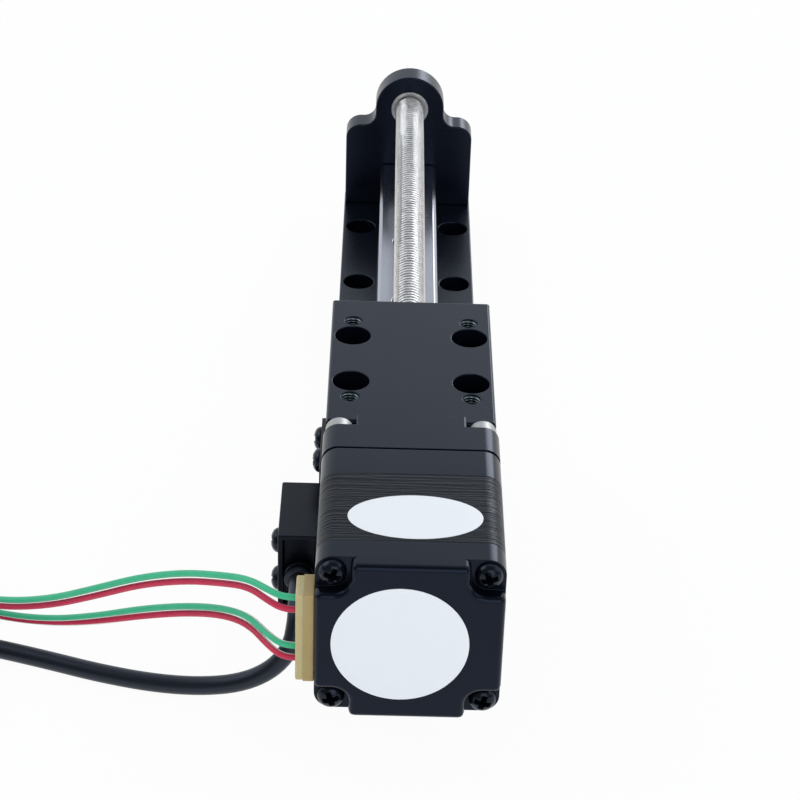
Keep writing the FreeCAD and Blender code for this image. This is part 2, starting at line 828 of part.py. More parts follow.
# Motor covers: die-cast ends of the motor, with a hub for the bearing and a ring-shaped hollow
# for the ends of the windings.
def square_block(name, start, length):
    """A square length of the motor with rounded corners."""
    body = new_body(name)
    square = four_corners(d.motor_width, d.motor_width, (0, screw_axis))
    pad(body, "y", start, length, rectangle(square[0], square[3]))
    round_edges(body, "Fillet", d.motor_corner, "y", square)
    return body


def hollow_ring(body, start):
    edges = (circle(axis_spot, d.yoke_radius), circle(axis_spot, d.hub_radius))
    pocket(body, "y", start, d.cavity_depth, *edges)


bearing_seat = d.motor_bearing_outside / 2 + d.fit
front_cover = square_block("motor_front_cover", stator_front, d.front_cover_length)
pad(front_cover, "y", motor_face, d.pilot_height, circle(axis_spot, d.pilot_diameter / 2))
hollow_ring(front_cover, stator_front)
front_seat_depth = d.bearing_set_back + d.motor_bearing_width
pocket(front_cover, "y", stator_front, front_seat_depth, circle(axis_spot, bearing_seat))
front_hole_length = d.front_cover_length + d.pilot_height
pocket(front_cover, "y", stator_front, front_hole_length, circle(axis_spot, d.shaft_hole / 2))
front_taps = [circle(p, small_hole) for p in corner_screws]
pocket(front_cover, "y", stator_front, d.small_bite, *front_taps)
face_taps = [circle(p, small_hole) for p in corner_screws]
pocket(front_cover, "y", motor_face - d.small_bite, d.small_bite, *face_taps)
keep("motor_front_cover", front_cover)

rear_cover = square_block("rear_cover_block", motor_rear, d.rear_cover_length)
hollow_ring(rear_cover, stator_rear - d.cavity_depth)
rear_seat_start = rear_bearing_start - d.washer_height
rear_seat_depth = stator_rear - rear_seat_start
pocket(rear_cover, "y", rear_seat_start, rear_seat_depth, circle(axis_spot, bearing_seat))
rear_holes = [circle(p, small_hole) for p in corner_screws]
pocket(rear_cover, "y", motor_rear, d.rear_cover_length, *rear_holes)
corner_tools = []
pocket_radius = d.corner_pocket_radius
corner_reach = motor_half + pocket_radius
for k, (x, z) in enumerate(corner_screws):
    right = x.value > 0
    upper = z.value > screw_axis.value
    start = (x, motor_rear, z)
    corner_tools.append(rod(f"corner_round_{k}", "y", start, pocket_radius, d.corner_pocket_depth))
    wide_x = x if right else x - corner_reach
    wide_z = z - pocket_radius if upper else z - corner_reach
    wide_size = (corner_reach, d.corner_pocket_depth, corner_reach + pocket_radius)
    corner_tools.append(block(f"corner_side_{k}", (wide_x, motor_rear, wide_z), wide_size))
    tall_x = x - pocket_radius if right else x - corner_reach
    tall_z = z if upper else z - corner_reach
    tall_size = (corner_reach + pocket_radius, d.corner_pocket_depth, corner_reach)
    corner_tools.append(block(f"corner_end_{k}", (tall_x, motor_rear, tall_z), tall_size))
connector_start = motor_rear + d.connector_set_in
connector_middle = screw_axis - d.connector_drop
tongue_inset = d.header_wall * 2
tongue_low = connector_middle - d.connector_height / 2 + tongue_inset
tongue_height = d.connector_height - tongue_inset * 2
tongue_depth = stator_rear - connector_start - d.header_wall
window_low = (-motor_half, connector_start + d.header_wall, tongue_low)
corner_tools.append(block("header_window", window_low, (d.header_tongue, tongue_depth, tongue_height)))
keep("motor_rear_cover", cut("motor_rear_cover", rear_cover, corner_tools))

screw_set(
    "motor_case_screws",
    "y",
    1,
    [(x, motor_rear + d.corner_pocket_depth, z) for x, z in corner_screws],
    d.small_thread,
    d.pan_head,
    d.pan_head_height,
    d.rear_cover_length - d.corner_pocket_depth + d.stator_length + d.small_bite,
)
screw_set(
    "motor_mount_screws",
    "y",
    -1,
    [(x, notch_floor, z) for x, z in corner_screws],
    d.small_thread,
    d.small_head,
    d.small_head_height,
    notch_floor - motor_face + d.small_bite,
    d.small_socket,
)


# Stator: a stack of laminations, square outside, with eight wound poles pointing inwards.
def spoke(name, turn, inner, outer, width, start, length):
    """A bar that points away from the screw's axis at an angle."""
    piece = doc.addObject("Part::Box", name)
    bind(piece, "Length", outer - inner)
    bind(piece, "Width", length)
    bind(piece, "Height", width)
    corner_x = inner * math.cos(turn) - width * (math.sin(turn) / 2)
    corner_z = screw_axis - inner * math.sin(turn) - width * (math.cos(turn) / 2)
    place(piece, (corner_x, start, corner_z), Rotation(Vector(0, 1, 0), math.degrees(turn)))
    return piece


stator_bore = d.rotor_radius + d.air_gap
stack = (stator_rear, d.stator_length)
yoke = square_block("stator_yoke", *stack)
pocket(yoke, "y", *stack, circle(axis_spot, d.yoke_radius))
pocket(yoke, "y", *stack, *[circle(p, small_hole) for p in corner_screws])
stack_start = (0, stator_rear, screw_axis)
stator_parts = [yoke, rod("pole_shoes", "y", stack_start, d.shoe_radius, d.stator_length)]
stator_tools = [rod("rotor_space", "y", stack_start, stator_bore, d.stator_length)]
coils = []
bobbins = []
bobbin_width = d.pole_width + d.bobbin_wall * 2
coil_start = stator_rear - d.coil_overhang
coil_length = d.stator_length + d.coil_overhang * 2
bobbin_start = stator_rear - d.bobbin_wall
bobbin_length = d.stator_length + d.bobbin_wall * 2
coil_width = bobbin_width + d.coil_thickness * 2
for k in range(POLES):
    turn = 2 * math.pi * k / POLES
    half_step = math.pi / POLES
    root = d.yoke_radius + d.pole_width / 4
    stator_parts.append(spoke(f"pole_{k}", turn, stator_bore, root, d.pole_width, *stack))
    opening = (stator_bore - d.air_gap, d.shoe_radius + d.air_gap, d.slot_opening)
    stator_tools.append(spoke(f"opening_{k}", turn + half_step, *opening, *stack))
    reach = (d.coil_inner_radius, d.coil_outer_radius)
    inside = (d.coil_inner_radius - d.air_gap, d.coil_outer_radius + d.air_gap)
    former = spoke(f"former_{k}", turn, *reach, bobbin_width, bobbin_start, bobbin_length)
    pole_gap = spoke(f"pole_gap_{k}", turn, *inside, d.pole_width, *stack)
    bobbins.append(cut(f"bobbin_{k}", former, [pole_gap]))
    winding = spoke(f"winding_{k}", turn, *reach, coil_width, coil_start, coil_length)
    former_gap = spoke(f"former_gap_{k}", turn, *inside, bobbin_width, bobbin_start, bobbin_length)
    coils.append(cut(f"coil_{k}", winding, [former_gap]))
keep("motor_stator", cut("motor_stator", fuse("stator_blank", stator_parts), stator_tools))
keep("winding_bobbins", group("winding_bobbins", bobbins))
keep("motor_windings", group("motor_windings", coils))


# Rotor: two toothed steel cups on the shaft, half a tooth apart, with a magnet between them.
def rotor_cup(name, start, phase):
    """A toothed cup made about its own axis and set on the shaft."""
    body = new_body(name)
    shaft_space = circle((0, 0), d.shaft_diameter / 2 + d.fit)
    pad(body, "y", start, d.rotor_cup_length, circle((0, 0), d.rotor_radius), shaft_space)
    gap_half = d.rotor_tooth_gap / 2
    gap_low = (-gap_half, d.rotor_radius - d.rotor_tooth_depth)
    gap_high = (gap_half, d.rotor_radius + d.rotor_tooth_depth)
    gap = pocket(body, "y", start, d.rotor_cup_length, rectangle(gap_low, gap_high))
    doc.recompute()
    teeth = body.newObject("PartDesign::PolarPattern", f"{name}_teeth")
    teeth.Originals = [gap]
    axis = next(f for f in body.Origin.OriginFeatures if f.Role == "Y_Axis")
    teeth.Axis = (axis, [""])
    teeth.Angle = 360
    teeth.Occurrences = ROTOR_TEETH
    body.Tip = teeth
    place(body, (0, 0, screw_axis), Rotation(Vector(0, 1, 0), phase))
    return keep(name, body)


rotor_length = d.rotor_cup_length * 2 + d.magnet_length
rotor_start = (stator_rear + stator_front) / 2 - rotor_length / 2
magnet_start = rotor_start + d.rotor_cup_length
rotor_cup("rotor_rear_cup", rotor_start, 0)
rotor_cup("rotor_front_cup", magnet_start + d.magnet_length, 180 / ROTOR_TEETH)
magnet_place = (0, magnet_start, screw_axis)
magnet_inside = d.shaft_diameter / 2 + d.fit
keep("rotor_magnet", ring("rotor_magnet", magnet_place, d.magnet_radius, magnet_inside, d.magnet_length))

# Wave washer: spring ring behind the rear bearing, which takes up the end play.
washer_place = (0, rear_seat_start, screw_axis)
washer_inside = d.motor_bearing_outside / 2 - d.race_thickness
washer_outside = d.motor_bearing_outside / 2
keep("wave_washer", ring("wave_washer", washer_place, washer_outside, washer_inside, d.washer_height))

# Connector: a header in the rear cover's side with six pins, and the plug that is pushed into
# it. The plug carries four leads in its outer ways.
connector_low = connector_middle - d.connector_height / 2
header_face = -motor_half - d.header_proud
shroud_low = (header_face, connector_start, connector_low)
shroud = block("header_shroud", shroud_low, (d.header_proud, d.connector_depth, d.connector_height))
tongue = block("header_tongue", window_low, (d.header_tongue, tongue_depth, tongue_height))
socket_wall = d.header_wall
socket_low = (header_face, connector_start + socket_wall, connector_low + socket_wall)
socket_depth = d.connector_depth - socket_wall * 2
socket_height = d.connector_height - socket_wall * 2
socket_floor = d.header_proud - socket_wall
socket = block("header_socket", socket_low, (socket_floor, socket_depth, socket_height))
way_heights = [z for z in reversed(evenly(connector_middle, d.lead_pitch, CONNECTOR_WAYS))]
pin_y = connector_start + d.connector_depth / 2 - d.pin_width / 2
pin_start = header_face + socket_wall
pin_length = -motor_half + d.header_tongue - pin_start
pin_holes = []
pins = []
for k, z in enumerate(way_heights):
    pin_low = (pin_start, pin_y, z - d.pin_width / 2)
    pin_size = (pin_length, d.pin_width, d.pin_width)
    pin_holes.append(block(f"pin_hole_{k}", pin_low, pin_size))
    pins.append(block(f"pin_{k}", pin_low, pin_size))
header_blank = fuse("header_blank", [shroud, tongue])
keep("connector_header", cut("connector_header", header_blank, [socket] + pin_holes))
keep("header_pins", group("header_pins", pins))

plug_face = header_face - d.plug_proud
plug_gap = d.fit
cap_inset = d.header_wall / 5
plug_cap_low = (plug_face, connector_start + cap_inset, connector_low + cap_inset)
plug_cap_size = (d.plug_proud, d.connector_depth - cap_inset * 2, d.connector_height - cap_inset * 2)
plug_cap = block("plug_cap", plug_cap_low, plug_cap_size)
plug_core_low = (header_face, socket_low[1] + plug_gap, socket_low[2] + plug_gap)
plug_core_size = (socket_floor, socket_depth - plug_gap * 2, socket_height - plug_gap * 2)
plug_core = block("plug_core", plug_core_low, plug_core_size)
plug_tools = []
for k, z in enumerate(way_heights):
    space = d.pin_width + plug_gap * 2
    space_low = (pin_start, pin_y - plug_gap, z - space / 2)
    plug_tools.append(block(f"pin_space_{k}", space_low, (socket_floor, space, space)))
keep("connector_plug", cut("connector_plug", fuse("plug_blank", [plug_cap, plug_core]), plug_tools))

# Home sensor: moulded fork with a slot for the flag, screwed to the bracket's left side. The
# cable leaves its recessed rear face through a rubber boot.
sensor = new_body("sensor_body")
sensor_left = -motor_half - d.sensor_thickness
sensor_bottom = sensor_top - d.sensor_height
sensor_front = sensor_rear + d.sensor_length
slot_middle = (sensor_top + sensor_bottom) / 2
slot_low = (sensor_front - d.sensor_slot_depth, slot_middle - d.sensor_slot_height / 2)
slot_high = (sensor_front, slot_middle + d.sensor_slot_height / 2)
fork = outline(
    (sensor_rear, sensor_bottom),
    (sensor_front, sensor_bottom),
    (sensor_front, slot_low[1]),
    slot_low,
    (slot_low[0], slot_high[1]),
    slot_high,
    (sensor_front, sensor_top),
    (sensor_rear, sensor_top),
)
pad(sensor, "x", sensor_left, d.sensor_thickness, fork)
round_edges(sensor, "Fillet", d.sensor_edge, "z", [(sensor_left, sensor_front)])
recess_low = (sensor_left + d.sensor_wall, sensor_bottom + d.sensor_wall)
recess_high = (-motor_half - d.sensor_wall, sensor_top - d.sensor_wall)
pocket(sensor, "y", sensor_rear, d.sensor_recess_depth, rectangle(recess_low, recess_high))
sensor_holes = [circle(p, d.mini_thread / 2 + d.fit) for p in sensor_screw_spots]
pocket(sensor, "x", sensor_left, d.sensor_thickness, *sensor_holes)
keep("sensor_body", sensor)
screw_set(
    "sensor_screws",
    "x",
    1,
    [(sensor_left, y, z) for y, z in sensor_screw_spots],
    d.mini_thread,
    d.mini_head,
    d.mini_head_height,
    d.sensor_thickness + d.mini_bite,
)
boot_x = sensor_left + d.sensor_thickness / 2
boot_z = slot_middle - d.boot_diameter / 6
boot_floor = sensor_rear + d.sensor_recess_depth
boot_face = boot_floor - d.boot_length
keep("sensor_boot", rod("sensor_boot", "y", (boot_x, boot_face, boot_z), d.boot_diameter / 2, d.boot_length))

# Sensor flag: bent sheet on the table's left side. A leg reaches down past the sensor's front,
# and a flat blade points back into the sensor's slot when the table is home.
flag = new_body("sensor_flag")
flag_outside = -table_half - d.flag_thickness
strip_low = sensor_top + d.flag_sensor_gap
strip_top = screw_axis + d.flag_rise
leg_start = sensor_front + d.flag_leg_gap
leg_end = leg_start + d.flag_leg_width
blade_low = slot_middle - d.flag_thickness / 2
upright = outline(
    (table_start, strip_low),
    (leg_start, strip_low),
    (leg_start, blade_low),
    (leg_end, blade_low),
    (leg_end, strip_low),
    (table_start + d.flag_length, strip_low),
    (table_start + d.flag_length, strip_top),
    (table_start, strip_top),
)
pad(flag, "x", flag_outside, d.flag_thickness, upright)
blade_near = -motor_half - d.flag_blade_near
blade_far = -motor_half - d.flag_blade_far
blade_tip = sensor_front - d.flag_blade_reach
blade = outline(
    (flag_outside, leg_start),
    (flag_outside, leg_end),
    (blade_far, leg_end),
    (blade_far, blade_tip),
    (blade_near, blade_tip),
    (blade_near, leg_start),
)
pad(flag, "z", blade_low, d.flag_thickness, blade)
flag_holes = [circle((y, screw_axis), d.mini_thread / 2 + d.fit) for y in flag_screw_ys]
pocket(flag, "x", flag_outside, d.flag_thickness, *flag_holes)
keep("sensor_flag", flag)
screw_set(
    "flag_screws",
    "x",
    1,
    [(flag_outside, y, screw_axis) for y in flag_screw_ys],
    d.mini_thread,
    d.mini_head,
    d.mini_head_height,
    d.flag_thickness + d.mini_bite,
)

# Routes of the free cords, chosen by hand: out of the plug or the boot, down to the surface
# that the base plate stands on, and along it to the coil.
LEAD_ROUTES = {
    "upper_green_lead": [
        (-19.0, -109.6, 35.375),
        (-21.3, -108.4, 35.5),
        (-24.2, -105.4, 35.5),
        (-28.8, -102.0, 33.6),
        (-34.6, -98.4, 31.25),
        (-41.8, -94.6, 27.4),
        (-49.1, -91.2, 22.6),
        (-57.5, -86.4, 16.6),
        (-66.8, -79.8, 11.0),
        (-76.5, -72.0, 6.9),
        (-85.3, -63.8, 4.4),
        (-91.8, -56.2, 3.8),
    ],
    "upper_red_lead": [
        (-19.0, -109.6, 33.125),
        (-21.3, -108.35, 33.45),
        (-24.2, -105.2, 33.9),
        (-28.8, -101.8, 32.0),
        (-34.6, -98.3, 29.65),
        (-41.8, -94.4, 25.8),
        (-49.1, -90.9, 20.9),
        (-57.5, -86.0, 14.95),
        (-66.8, -79.5, 9.4),
        (-76.5, -72.0, 5.4),
        (-85.3, -64.1, 3.2),
        (-91.8, -56.2, 2.71),
    ],
    "lower_green_lead": [
        (-19.0, -109.6, 26.375),
        (-21.3, -108.2, 26.6),
        (-24.4, -103.1, 26.9),
        (-29.0, -98.1, 24.5),
        (-35.3, -93.0, 20.85),
        (-42.7, -89.0, 17.0),
        (-50.1, -86.1, 13.2),
        (-58.4, -82.2, 9.3),
        (-67.7, -76.6, 5.9),
        (-76.8, -69.9, 3.5),
        (-85.0, -62.7, 2.1),
        (-91.8, -56.2, 1.62),
    ],
    "lower_red_lead": [
        (-19.0, -109.6, 24.125),
        (-21.3, -108.2, 24.5),
        (-24.4, -103.0, 25.2),
        (-29.0, -98.0, 23.1),
        (-35.3, -93.0, 19.45),
        (-42.7, -88.9, 15.5),
        (-50.1, -85.8, 11.75),
        (-58.4, -81.5, 7.95),
        (-67.7, -75.9, 4.6),
        (-76.8, -69.4, 2.2),
        (-85.0, -62.8, 0.95),
        (-91.8, -56.2, 0.53),
    ],
}
CABLE_ROUTE = [
    (-17.6, -85.2, 17.55),
    (-17.6, -88.9, 15.2),
    (-18.4, -90.7, 11.2),
    (-21.2, -91.1, 7.2),
    (-26.0, -90.8, 4.0),
    (-32.5, -89.9, 2.2),
    (-40.5, -88.7, 1.6),
    (-50.0, -86.4, 1.6),
    (-60.0, -82.9, 1.6),
    (-71.0, -79.5, 1.6),
    (-82.0, -77.5, 1.6),
]
LEAD_COIL = (-88.25, -44.7)
LEAD_COIL_ENTRY = math.radians(215)
CABLE_COIL = (-92.0, -96.5)
CABLE_COIL_ENTRY = math.radians(90)
ARC_SHARE = 0.45


def rounded_path(points):
    """Straight runs joined by arcs, each as large as its two runs allow, and the arcs' radii."""
    edges = []
    radii = []
    last = points[0]
    for before, corner, after in zip(points, points[1:], points[2:]):
        back = before - corner
        onward = after - corner
        turn = math.pi - back.getAngle(onward)
        reach = ARC_SHARE * min(back.Length, onward.Length)
        back.normalize()
        onward.normalize()
        radius = reach / math.tan(turn / 2)
        inward = back + onward
        inward.normalize()
        sagitta = radius / math.cos(turn / 2) - radius
        arc_start = corner + back * reach
        arc_end = corner + onward * reach
        edges.append(Part.LineSegment(last, arc_start).toShape())
        edges.append(Part.Arc(arc_start, corner + inward * sagitta, arc_end).toShape())
        radii.append(radius)
        last = arc_end
    edges.append(Part.LineSegment(last, points[-1]).toShape())
    return Part.Wire(edges), radii


def cord_tube(label, points, diameter):
    """A plain tube along a rounded path."""
    path, radii = rounded_path(points)
    along = points[1] - points[0]
    section = Part.Wire([Part.Circle(points[0], along, diameter.value / 2).toShape()])
    tube = path.makePipeShell([section], True, False)
    ideal = math.pi * diameter.value**2 / 4 * path.Length
    if abs(tube.Volume - ideal) > 0.01 * ideal:
        raise ValueError(f"{label}: volume {tube.Volume:.1f}, section times length {ideal:.1f}")
    print(f"{label}: length {path.Length:.1f}, least radius {min(radii):.1f}")
    piece = doc.addObject("Part::Feature", label)
    piece.Shape = tube
    return keep(label, piece)


def coil_solid(label, middle, radius, turns, layers, diameter):
    """The outer shape of a flat coil that lies on the floor: a ring of its turns and layers."""
    pitch = diameter * SIZES["coil_spacing"]
    inner = radius - pitch * turns - diameter / 2
    height = pitch * (layers - 1) + diameter
    start = (middle[0], middle[1], 0)
    disc = rod(f"{label}_disc", "z", start, radius + diameter / 2, height)
    hole = rod(f"{label}_hole", "z", start, inner, height)
    return keep(label, cut(label, disc, [hole]))


lead_y = connector_start + d.connector_depth / 2
coil_entry = Vector(math.cos(LEAD_COIL_ENTRY), math.sin(LEAD_COIL_ENTRY), 0)
lead_coil_start = Vector(*LEAD_COIL, 0) + coil_entry * d.lead_coil_radius.value
used_heights = way_heights[:2] + way_heights[-2:]
for height, (label, route) in zip(used_heights, LEAD_ROUTES.items()):
    exit_point = Vector(plug_face.value, lead_y.value, height.value)
    points = [exit_point] + [Vector(*p) for p in route]
    points.append(Vector(lead_coil_start.x, lead_coil_start.y, route[-1][2]))
    cord_tube(label, points, d.lead_diameter)
lead_turns = SIZES["lead_coil_turns"]
coil_solid("lead_coil", LEAD_COIL, d.lead_coil_radius, lead_turns, len(LEAD_ROUTES), d.lead_diameter)

cable_entry = Vector(math.cos(CABLE_COIL_ENTRY), math.sin(CABLE_COIL_ENTRY), 0)
cable_coil_start = Vector(*CABLE_COIL, 0) + cable_entry * d.cable_coil_radius.value
cable_points = [Vector(boot_x.value, boot_face.value, boot_z.value)]
cable_points += [Vector(*p) for p in CABLE_ROUTE]
cable_points.append(Vector(cable_coil_start.x, cable_coil_start.y, CABLE_ROUTE[-1][2]))
cord_tube("sensor_cable", cable_points, d.cable_diameter)
coil_solid(
    "cable_coil",
    CABLE_COIL,
    d.cable_coil_radius,
    SIZES["cable_coil_turns"],
    SIZES["cable_coil_layers"],
    d.cable_diameter,
)

# Build, check every object, and write one file for each sub-part.
doc.recompute()
for piece in doc.Objects:
    if "Invalid" in piece.State or "Error" in piece.State:
        raise ValueError(f"{piece.Name}: {piece.State}")
    if piece.TypeId == "PartDesign::Pocket" and piece.BaseFeature is not None:
        if piece.Shape.Volume >= piece.BaseFeature.Shape.Volume:
            raise ValueError(f"{piece.Name} cuts nothing")
for label, piece in nodes.items():
    if piece.Shape.isNull() or not piece.Shape.isValid():
        raise ValueError(f"{label} has no valid shape")

os.makedirs("parts", exist_ok=True)
for label, piece in nodes.items():
    piece.Shape.exportStep(f"parts/{label}.step")
print(f"{len(nodes)} sub-parts")
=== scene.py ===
import math

import bmesh
import bpy
import numpy as np
from mathutils import Matrix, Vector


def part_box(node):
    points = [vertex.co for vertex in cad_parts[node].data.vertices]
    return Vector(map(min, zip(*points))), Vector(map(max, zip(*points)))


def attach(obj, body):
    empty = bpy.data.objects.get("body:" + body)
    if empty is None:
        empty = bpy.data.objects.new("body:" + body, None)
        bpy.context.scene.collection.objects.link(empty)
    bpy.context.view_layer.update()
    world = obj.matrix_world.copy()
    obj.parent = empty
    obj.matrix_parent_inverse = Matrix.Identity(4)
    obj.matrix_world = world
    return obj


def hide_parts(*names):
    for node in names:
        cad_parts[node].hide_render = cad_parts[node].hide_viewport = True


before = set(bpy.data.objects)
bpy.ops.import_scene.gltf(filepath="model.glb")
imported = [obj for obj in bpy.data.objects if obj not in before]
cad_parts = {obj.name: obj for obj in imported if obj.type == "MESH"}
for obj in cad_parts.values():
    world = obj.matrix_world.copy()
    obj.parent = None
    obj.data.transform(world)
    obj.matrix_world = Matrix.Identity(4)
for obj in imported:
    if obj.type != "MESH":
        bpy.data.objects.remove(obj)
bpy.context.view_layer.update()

# Base plate: a milled aluminium bar, drilled and counterbored to be bolted down. It is bead
# blasted and then anodised black, so it has a fine grain, and its edges are broken by hand.
MM = 0.001


class Wire:
    """An output of a material's node. Arithmetic on it adds Math nodes to the same material."""

    def __init__(self, tree, socket=None):
        self.tree = tree
        self.socket = socket

    def node(self, kind, settings, sockets, output=0):
        """Adds a node: first its settings, then the values or links of its sockets."""
        made = self.tree.nodes.new(kind)
        for name, value in settings.items():
            setattr(made, name, value)
        for name, value in sockets.items():
            if isinstance(value, Wire):
                self.tree.links.new(value.socket, made.inputs[name])
            else:
                made.inputs[name].default_value = value
        return Wire(self.tree, made.outputs[output] if made.outputs else None)

    def maths(self, operation, first, second=0.0):
        return self.node("ShaderNodeMath", {"operation": operation}, {0: first, 1: second})

    def part(self, axis):
        """One axis of a vector."""
        return self.node("ShaderNodeSeparateXYZ", {}, {"Vector": self}, axis)

    def ramp(self, low, high):
        """A share that goes from 0 to 1 while the value goes from low to high."""
        return self.node("ShaderNodeMapRange", {}, {"Value": self, "From Min": low, "From Max": high})

    def __add__(self, other):
        return self.maths("ADD", self, other)

    def __sub__(self, other):
        return self.maths("SUBTRACT", self, other)

    def __rsub__(self, other):
        return self.maths("SUBTRACT", other, self)

    def __mul__(self, other):
        return self.maths("MULTIPLY", self, other)

    def __truediv__(self, other):
        return self.maths("DIVIDE", self, other)

    def __pow__(self, other):
        return self.maths("POWER", self, other)

    __radd__ = __add__
    __rmul__ = __mul__


def start_finish(name):
    """A new material, and the piece's own coordinates as its first node."""
    finish = bpy.data.materials.new(name)
    finish.use_nodes = True
    finish.node_tree.nodes.clear()
    return finish, Wire(finish.node_tree).node("ShaderNodeTexCoord", {}, {}, "Object")


def close_finish(place, sockets):
    """One surface shader with these sockets, joined to the material's output."""
    shader = place.node("ShaderNodeBsdfPrincipled", {}, sockets)
    place.node("ShaderNodeOutputMaterial", {}, {"Surface": shader})


def cloud(place, patch, detail=2.0):
    """Cloudy values from 0 to 1, in patches of one size."""
    sockets = {"Vector": place, "Scale": 1 / patch, "Detail": detail}
    return place.node("ShaderNodeTexNoise", {}, sockets)


def tint(place, share, first, second):
    """A colour between two, by a share from 0 to 1."""
    return place.node("ShaderNodeMix", {"data_type": "RGBA"}, {0: share, 6: first, 7: second}, 2)


def relief(place, height, depth):
    """A surface that rises by a depth where the height goes from 0 to 1."""
    return place.node("ShaderNodeBump", {}, {"Height": height, "Distance": depth})


def flat_edges(work):
    """The edges that lie inside a flat face of the solid."""
    level_angle = 0.01
    return [edge for edge in work.edges if edge.calc_face_angle(1) < level_angle]


def eased(node, width, finish, body="base", shares=()):
    """A copy of a solid, its triangles joined into whole faces, over their longest edges first, and
    its sharp edges rounded. Each row of shares is an axis, a level, a height and a share: edges in
    the plane of that axis and level, and below that height, get that share of the width."""
    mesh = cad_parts[node].data.copy()
    work = bmesh.new()
    work.from_mesh(mesh)
    bmesh.ops.remove_doubles(work, verts=work.verts, dist=0.001 * MM)
    bmesh.ops.beautify_fill(work, faces=work.faces, edges=flat_edges(work))
    for edge in sorted(flat_edges(work), key=lambda edge: edge.calc_length(), reverse=True):
        if edge.is_valid and len(edge.link_faces) == 2:
            bmesh.utils.face_join(edge.link_faces)
    sharp_angle = math.radians(35)
    weights = np.array([float(edge.calc_face_angle(0) > sharp_angle) for edge in work.edges])
    ends = np.array([[vertex.co for vertex in edge.verts] for edge in work.edges])
    near = 0.01 * MM
    for axis, level, height, share in shares:
        in_plane = np.abs(ends[:, :, "xyz".index(axis)] - level * MM) < near
        below = ends[:, :, 2] < height * MM
        weights[np.all(in_plane & below, axis=1)] *= share
    work.to_mesh(mesh)
    work.free()
    weight = mesh.attributes.new("bevel_weight_edge", "FLOAT", "EDGE")
    weight.data.foreach_set("value", weights)
    mesh.shade_smooth()
    mesh.materials.clear()
    mesh.materials.append(finish)
    piece = bpy.data.objects.new(f"{node}_piece", mesh)
    bpy.context.scene.collection.objects.link(piece)
    rounding = piece.modifiers.new("rounded_edges", "BEVEL")
    rounding.width = width
    rounding.segments = 3
    rounding.limit_method = "WEIGHT"
    rounding.use_clamp_overlap = False
    flat_faces = piece.modifiers.new("flat_faces", "WEIGHTED_NORMAL")
    flat_faces.weight = 100
    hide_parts(node)
    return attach(piece, body)


black_anodised, place = start_finish("black_anodised")
patches = cloud(place, 9 * MM)
grain = cloud(place, 0.13 * MM, 1.0)
close_finish(place, {
    "Base Color": tint(place, patches, (0.0017, 0.0022, 0.0048, 1), (0.0025, 0.0032, 0.0065, 1)),
    "Roughness": 0.22 + 0.05 * patches + 0.04 * grain,
    "Specular IOR Level": 0.32,
    "Specular Tint": (0.5, 0.65, 1, 1),
    "Normal": relief(place, grain, 0.005 * MM),
})
eased("base_plate", 0.25 * MM, black_anodised)

# Guide rail: hardened steel, ground along its length, with a ball groove in each side. It is
# held to the base plate by a row of cap screws in counterbored holes.


def ground_steel(name, dark, light, rough, lines_depth):
    """Ground steel: fine lines along its length over a cloudy sheen."""
    finish, place = start_finish(name)
    stretched = place.node("ShaderNodeMapping", {}, {"Vector": place, "Scale": (1, 0.01, 1)})
    lines = cloud(stretched, 0.09 * MM, 2.0)
    patches = cloud(place, 14 * MM)
    close_finish(place, {
        "Base Color": tint(place, patches, dark, light),
        "Metallic": 1.0,
        "Roughness": rough + 0.06 * patches,
        "Normal": relief(place, lines, lines_depth),
    })
    return finish


rail_dark = (0.35, 0.36, 0.41, 1)
rail_light = (0.41, 0.42, 0.47, 1)
rail_steel = ground_steel("rail_steel", rail_dark, rail_light, 0.17, 0.0007 * MM)
eased("guide_rail", 0.2 * MM, rail_steel)


def hexagon(around):
    """How far a hexagon's side is from its middle at each angle, for sides at a distance of 1."""
    sixth = math.pi / 3
    return 1 / np.cos((around + sixth / 2) % sixth - sixth / 2)


def skin(name, grid, finish, body):
    """Closed shells over a grid (copies, rings, columns, xyz). Each ring is joined to the next
    all the way round, and a first and last ring of no size close the ends. Its UV map runs
    along the rings and round them."""
    copies, rings, columns = grid.shape[:3]
    index = np.arange(grid.size // 3).reshape(copies, rings, columns)
    here = index[:, :-1]
    onward = index[:, 1:]
    corners = [here, np.roll(here, -1, 2), np.roll(onward, -1, 2), onward]
    faces = np.stack(corners, -1).reshape(-1, 4)
    mesh = bpy.data.meshes.new(name)
    mesh.from_pydata(grid.reshape(-1, 3).tolist(), [], faces.tolist())
    ring, column = np.meshgrid(np.arange(rings - 1), np.arange(columns), indexing="ij")
    along = np.stack([ring, ring, ring + 1, ring + 1], -1) / (rings - 1)
    round_it = np.stack([column, column + 1, column + 1, column], -1) / columns
    spread = np.broadcast_to(np.stack([along, round_it], -1), (copies, *along.shape, 2))
    mesh.uv_layers.new(name="surface").data.foreach_set("uv", spread.ravel())
    work = bmesh.new()
    work.from_mesh(mesh)
    bmesh.ops.remove_doubles(work, verts=work.verts, dist=0.0001 * MM)
    bmesh.ops.recalc_face_normals(work, faces=work.faces)
    work.to_mesh(mesh)
    work.free()
    mesh.shade_smooth()
    mesh.set_sharp_from_angle(angle=math.radians(40))
    mesh.materials.append(finish)
    piece = bpy.data.objects.new(name, mesh)
    bpy.context.scene.collection.objects.link(piece)
    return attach(piece, body)


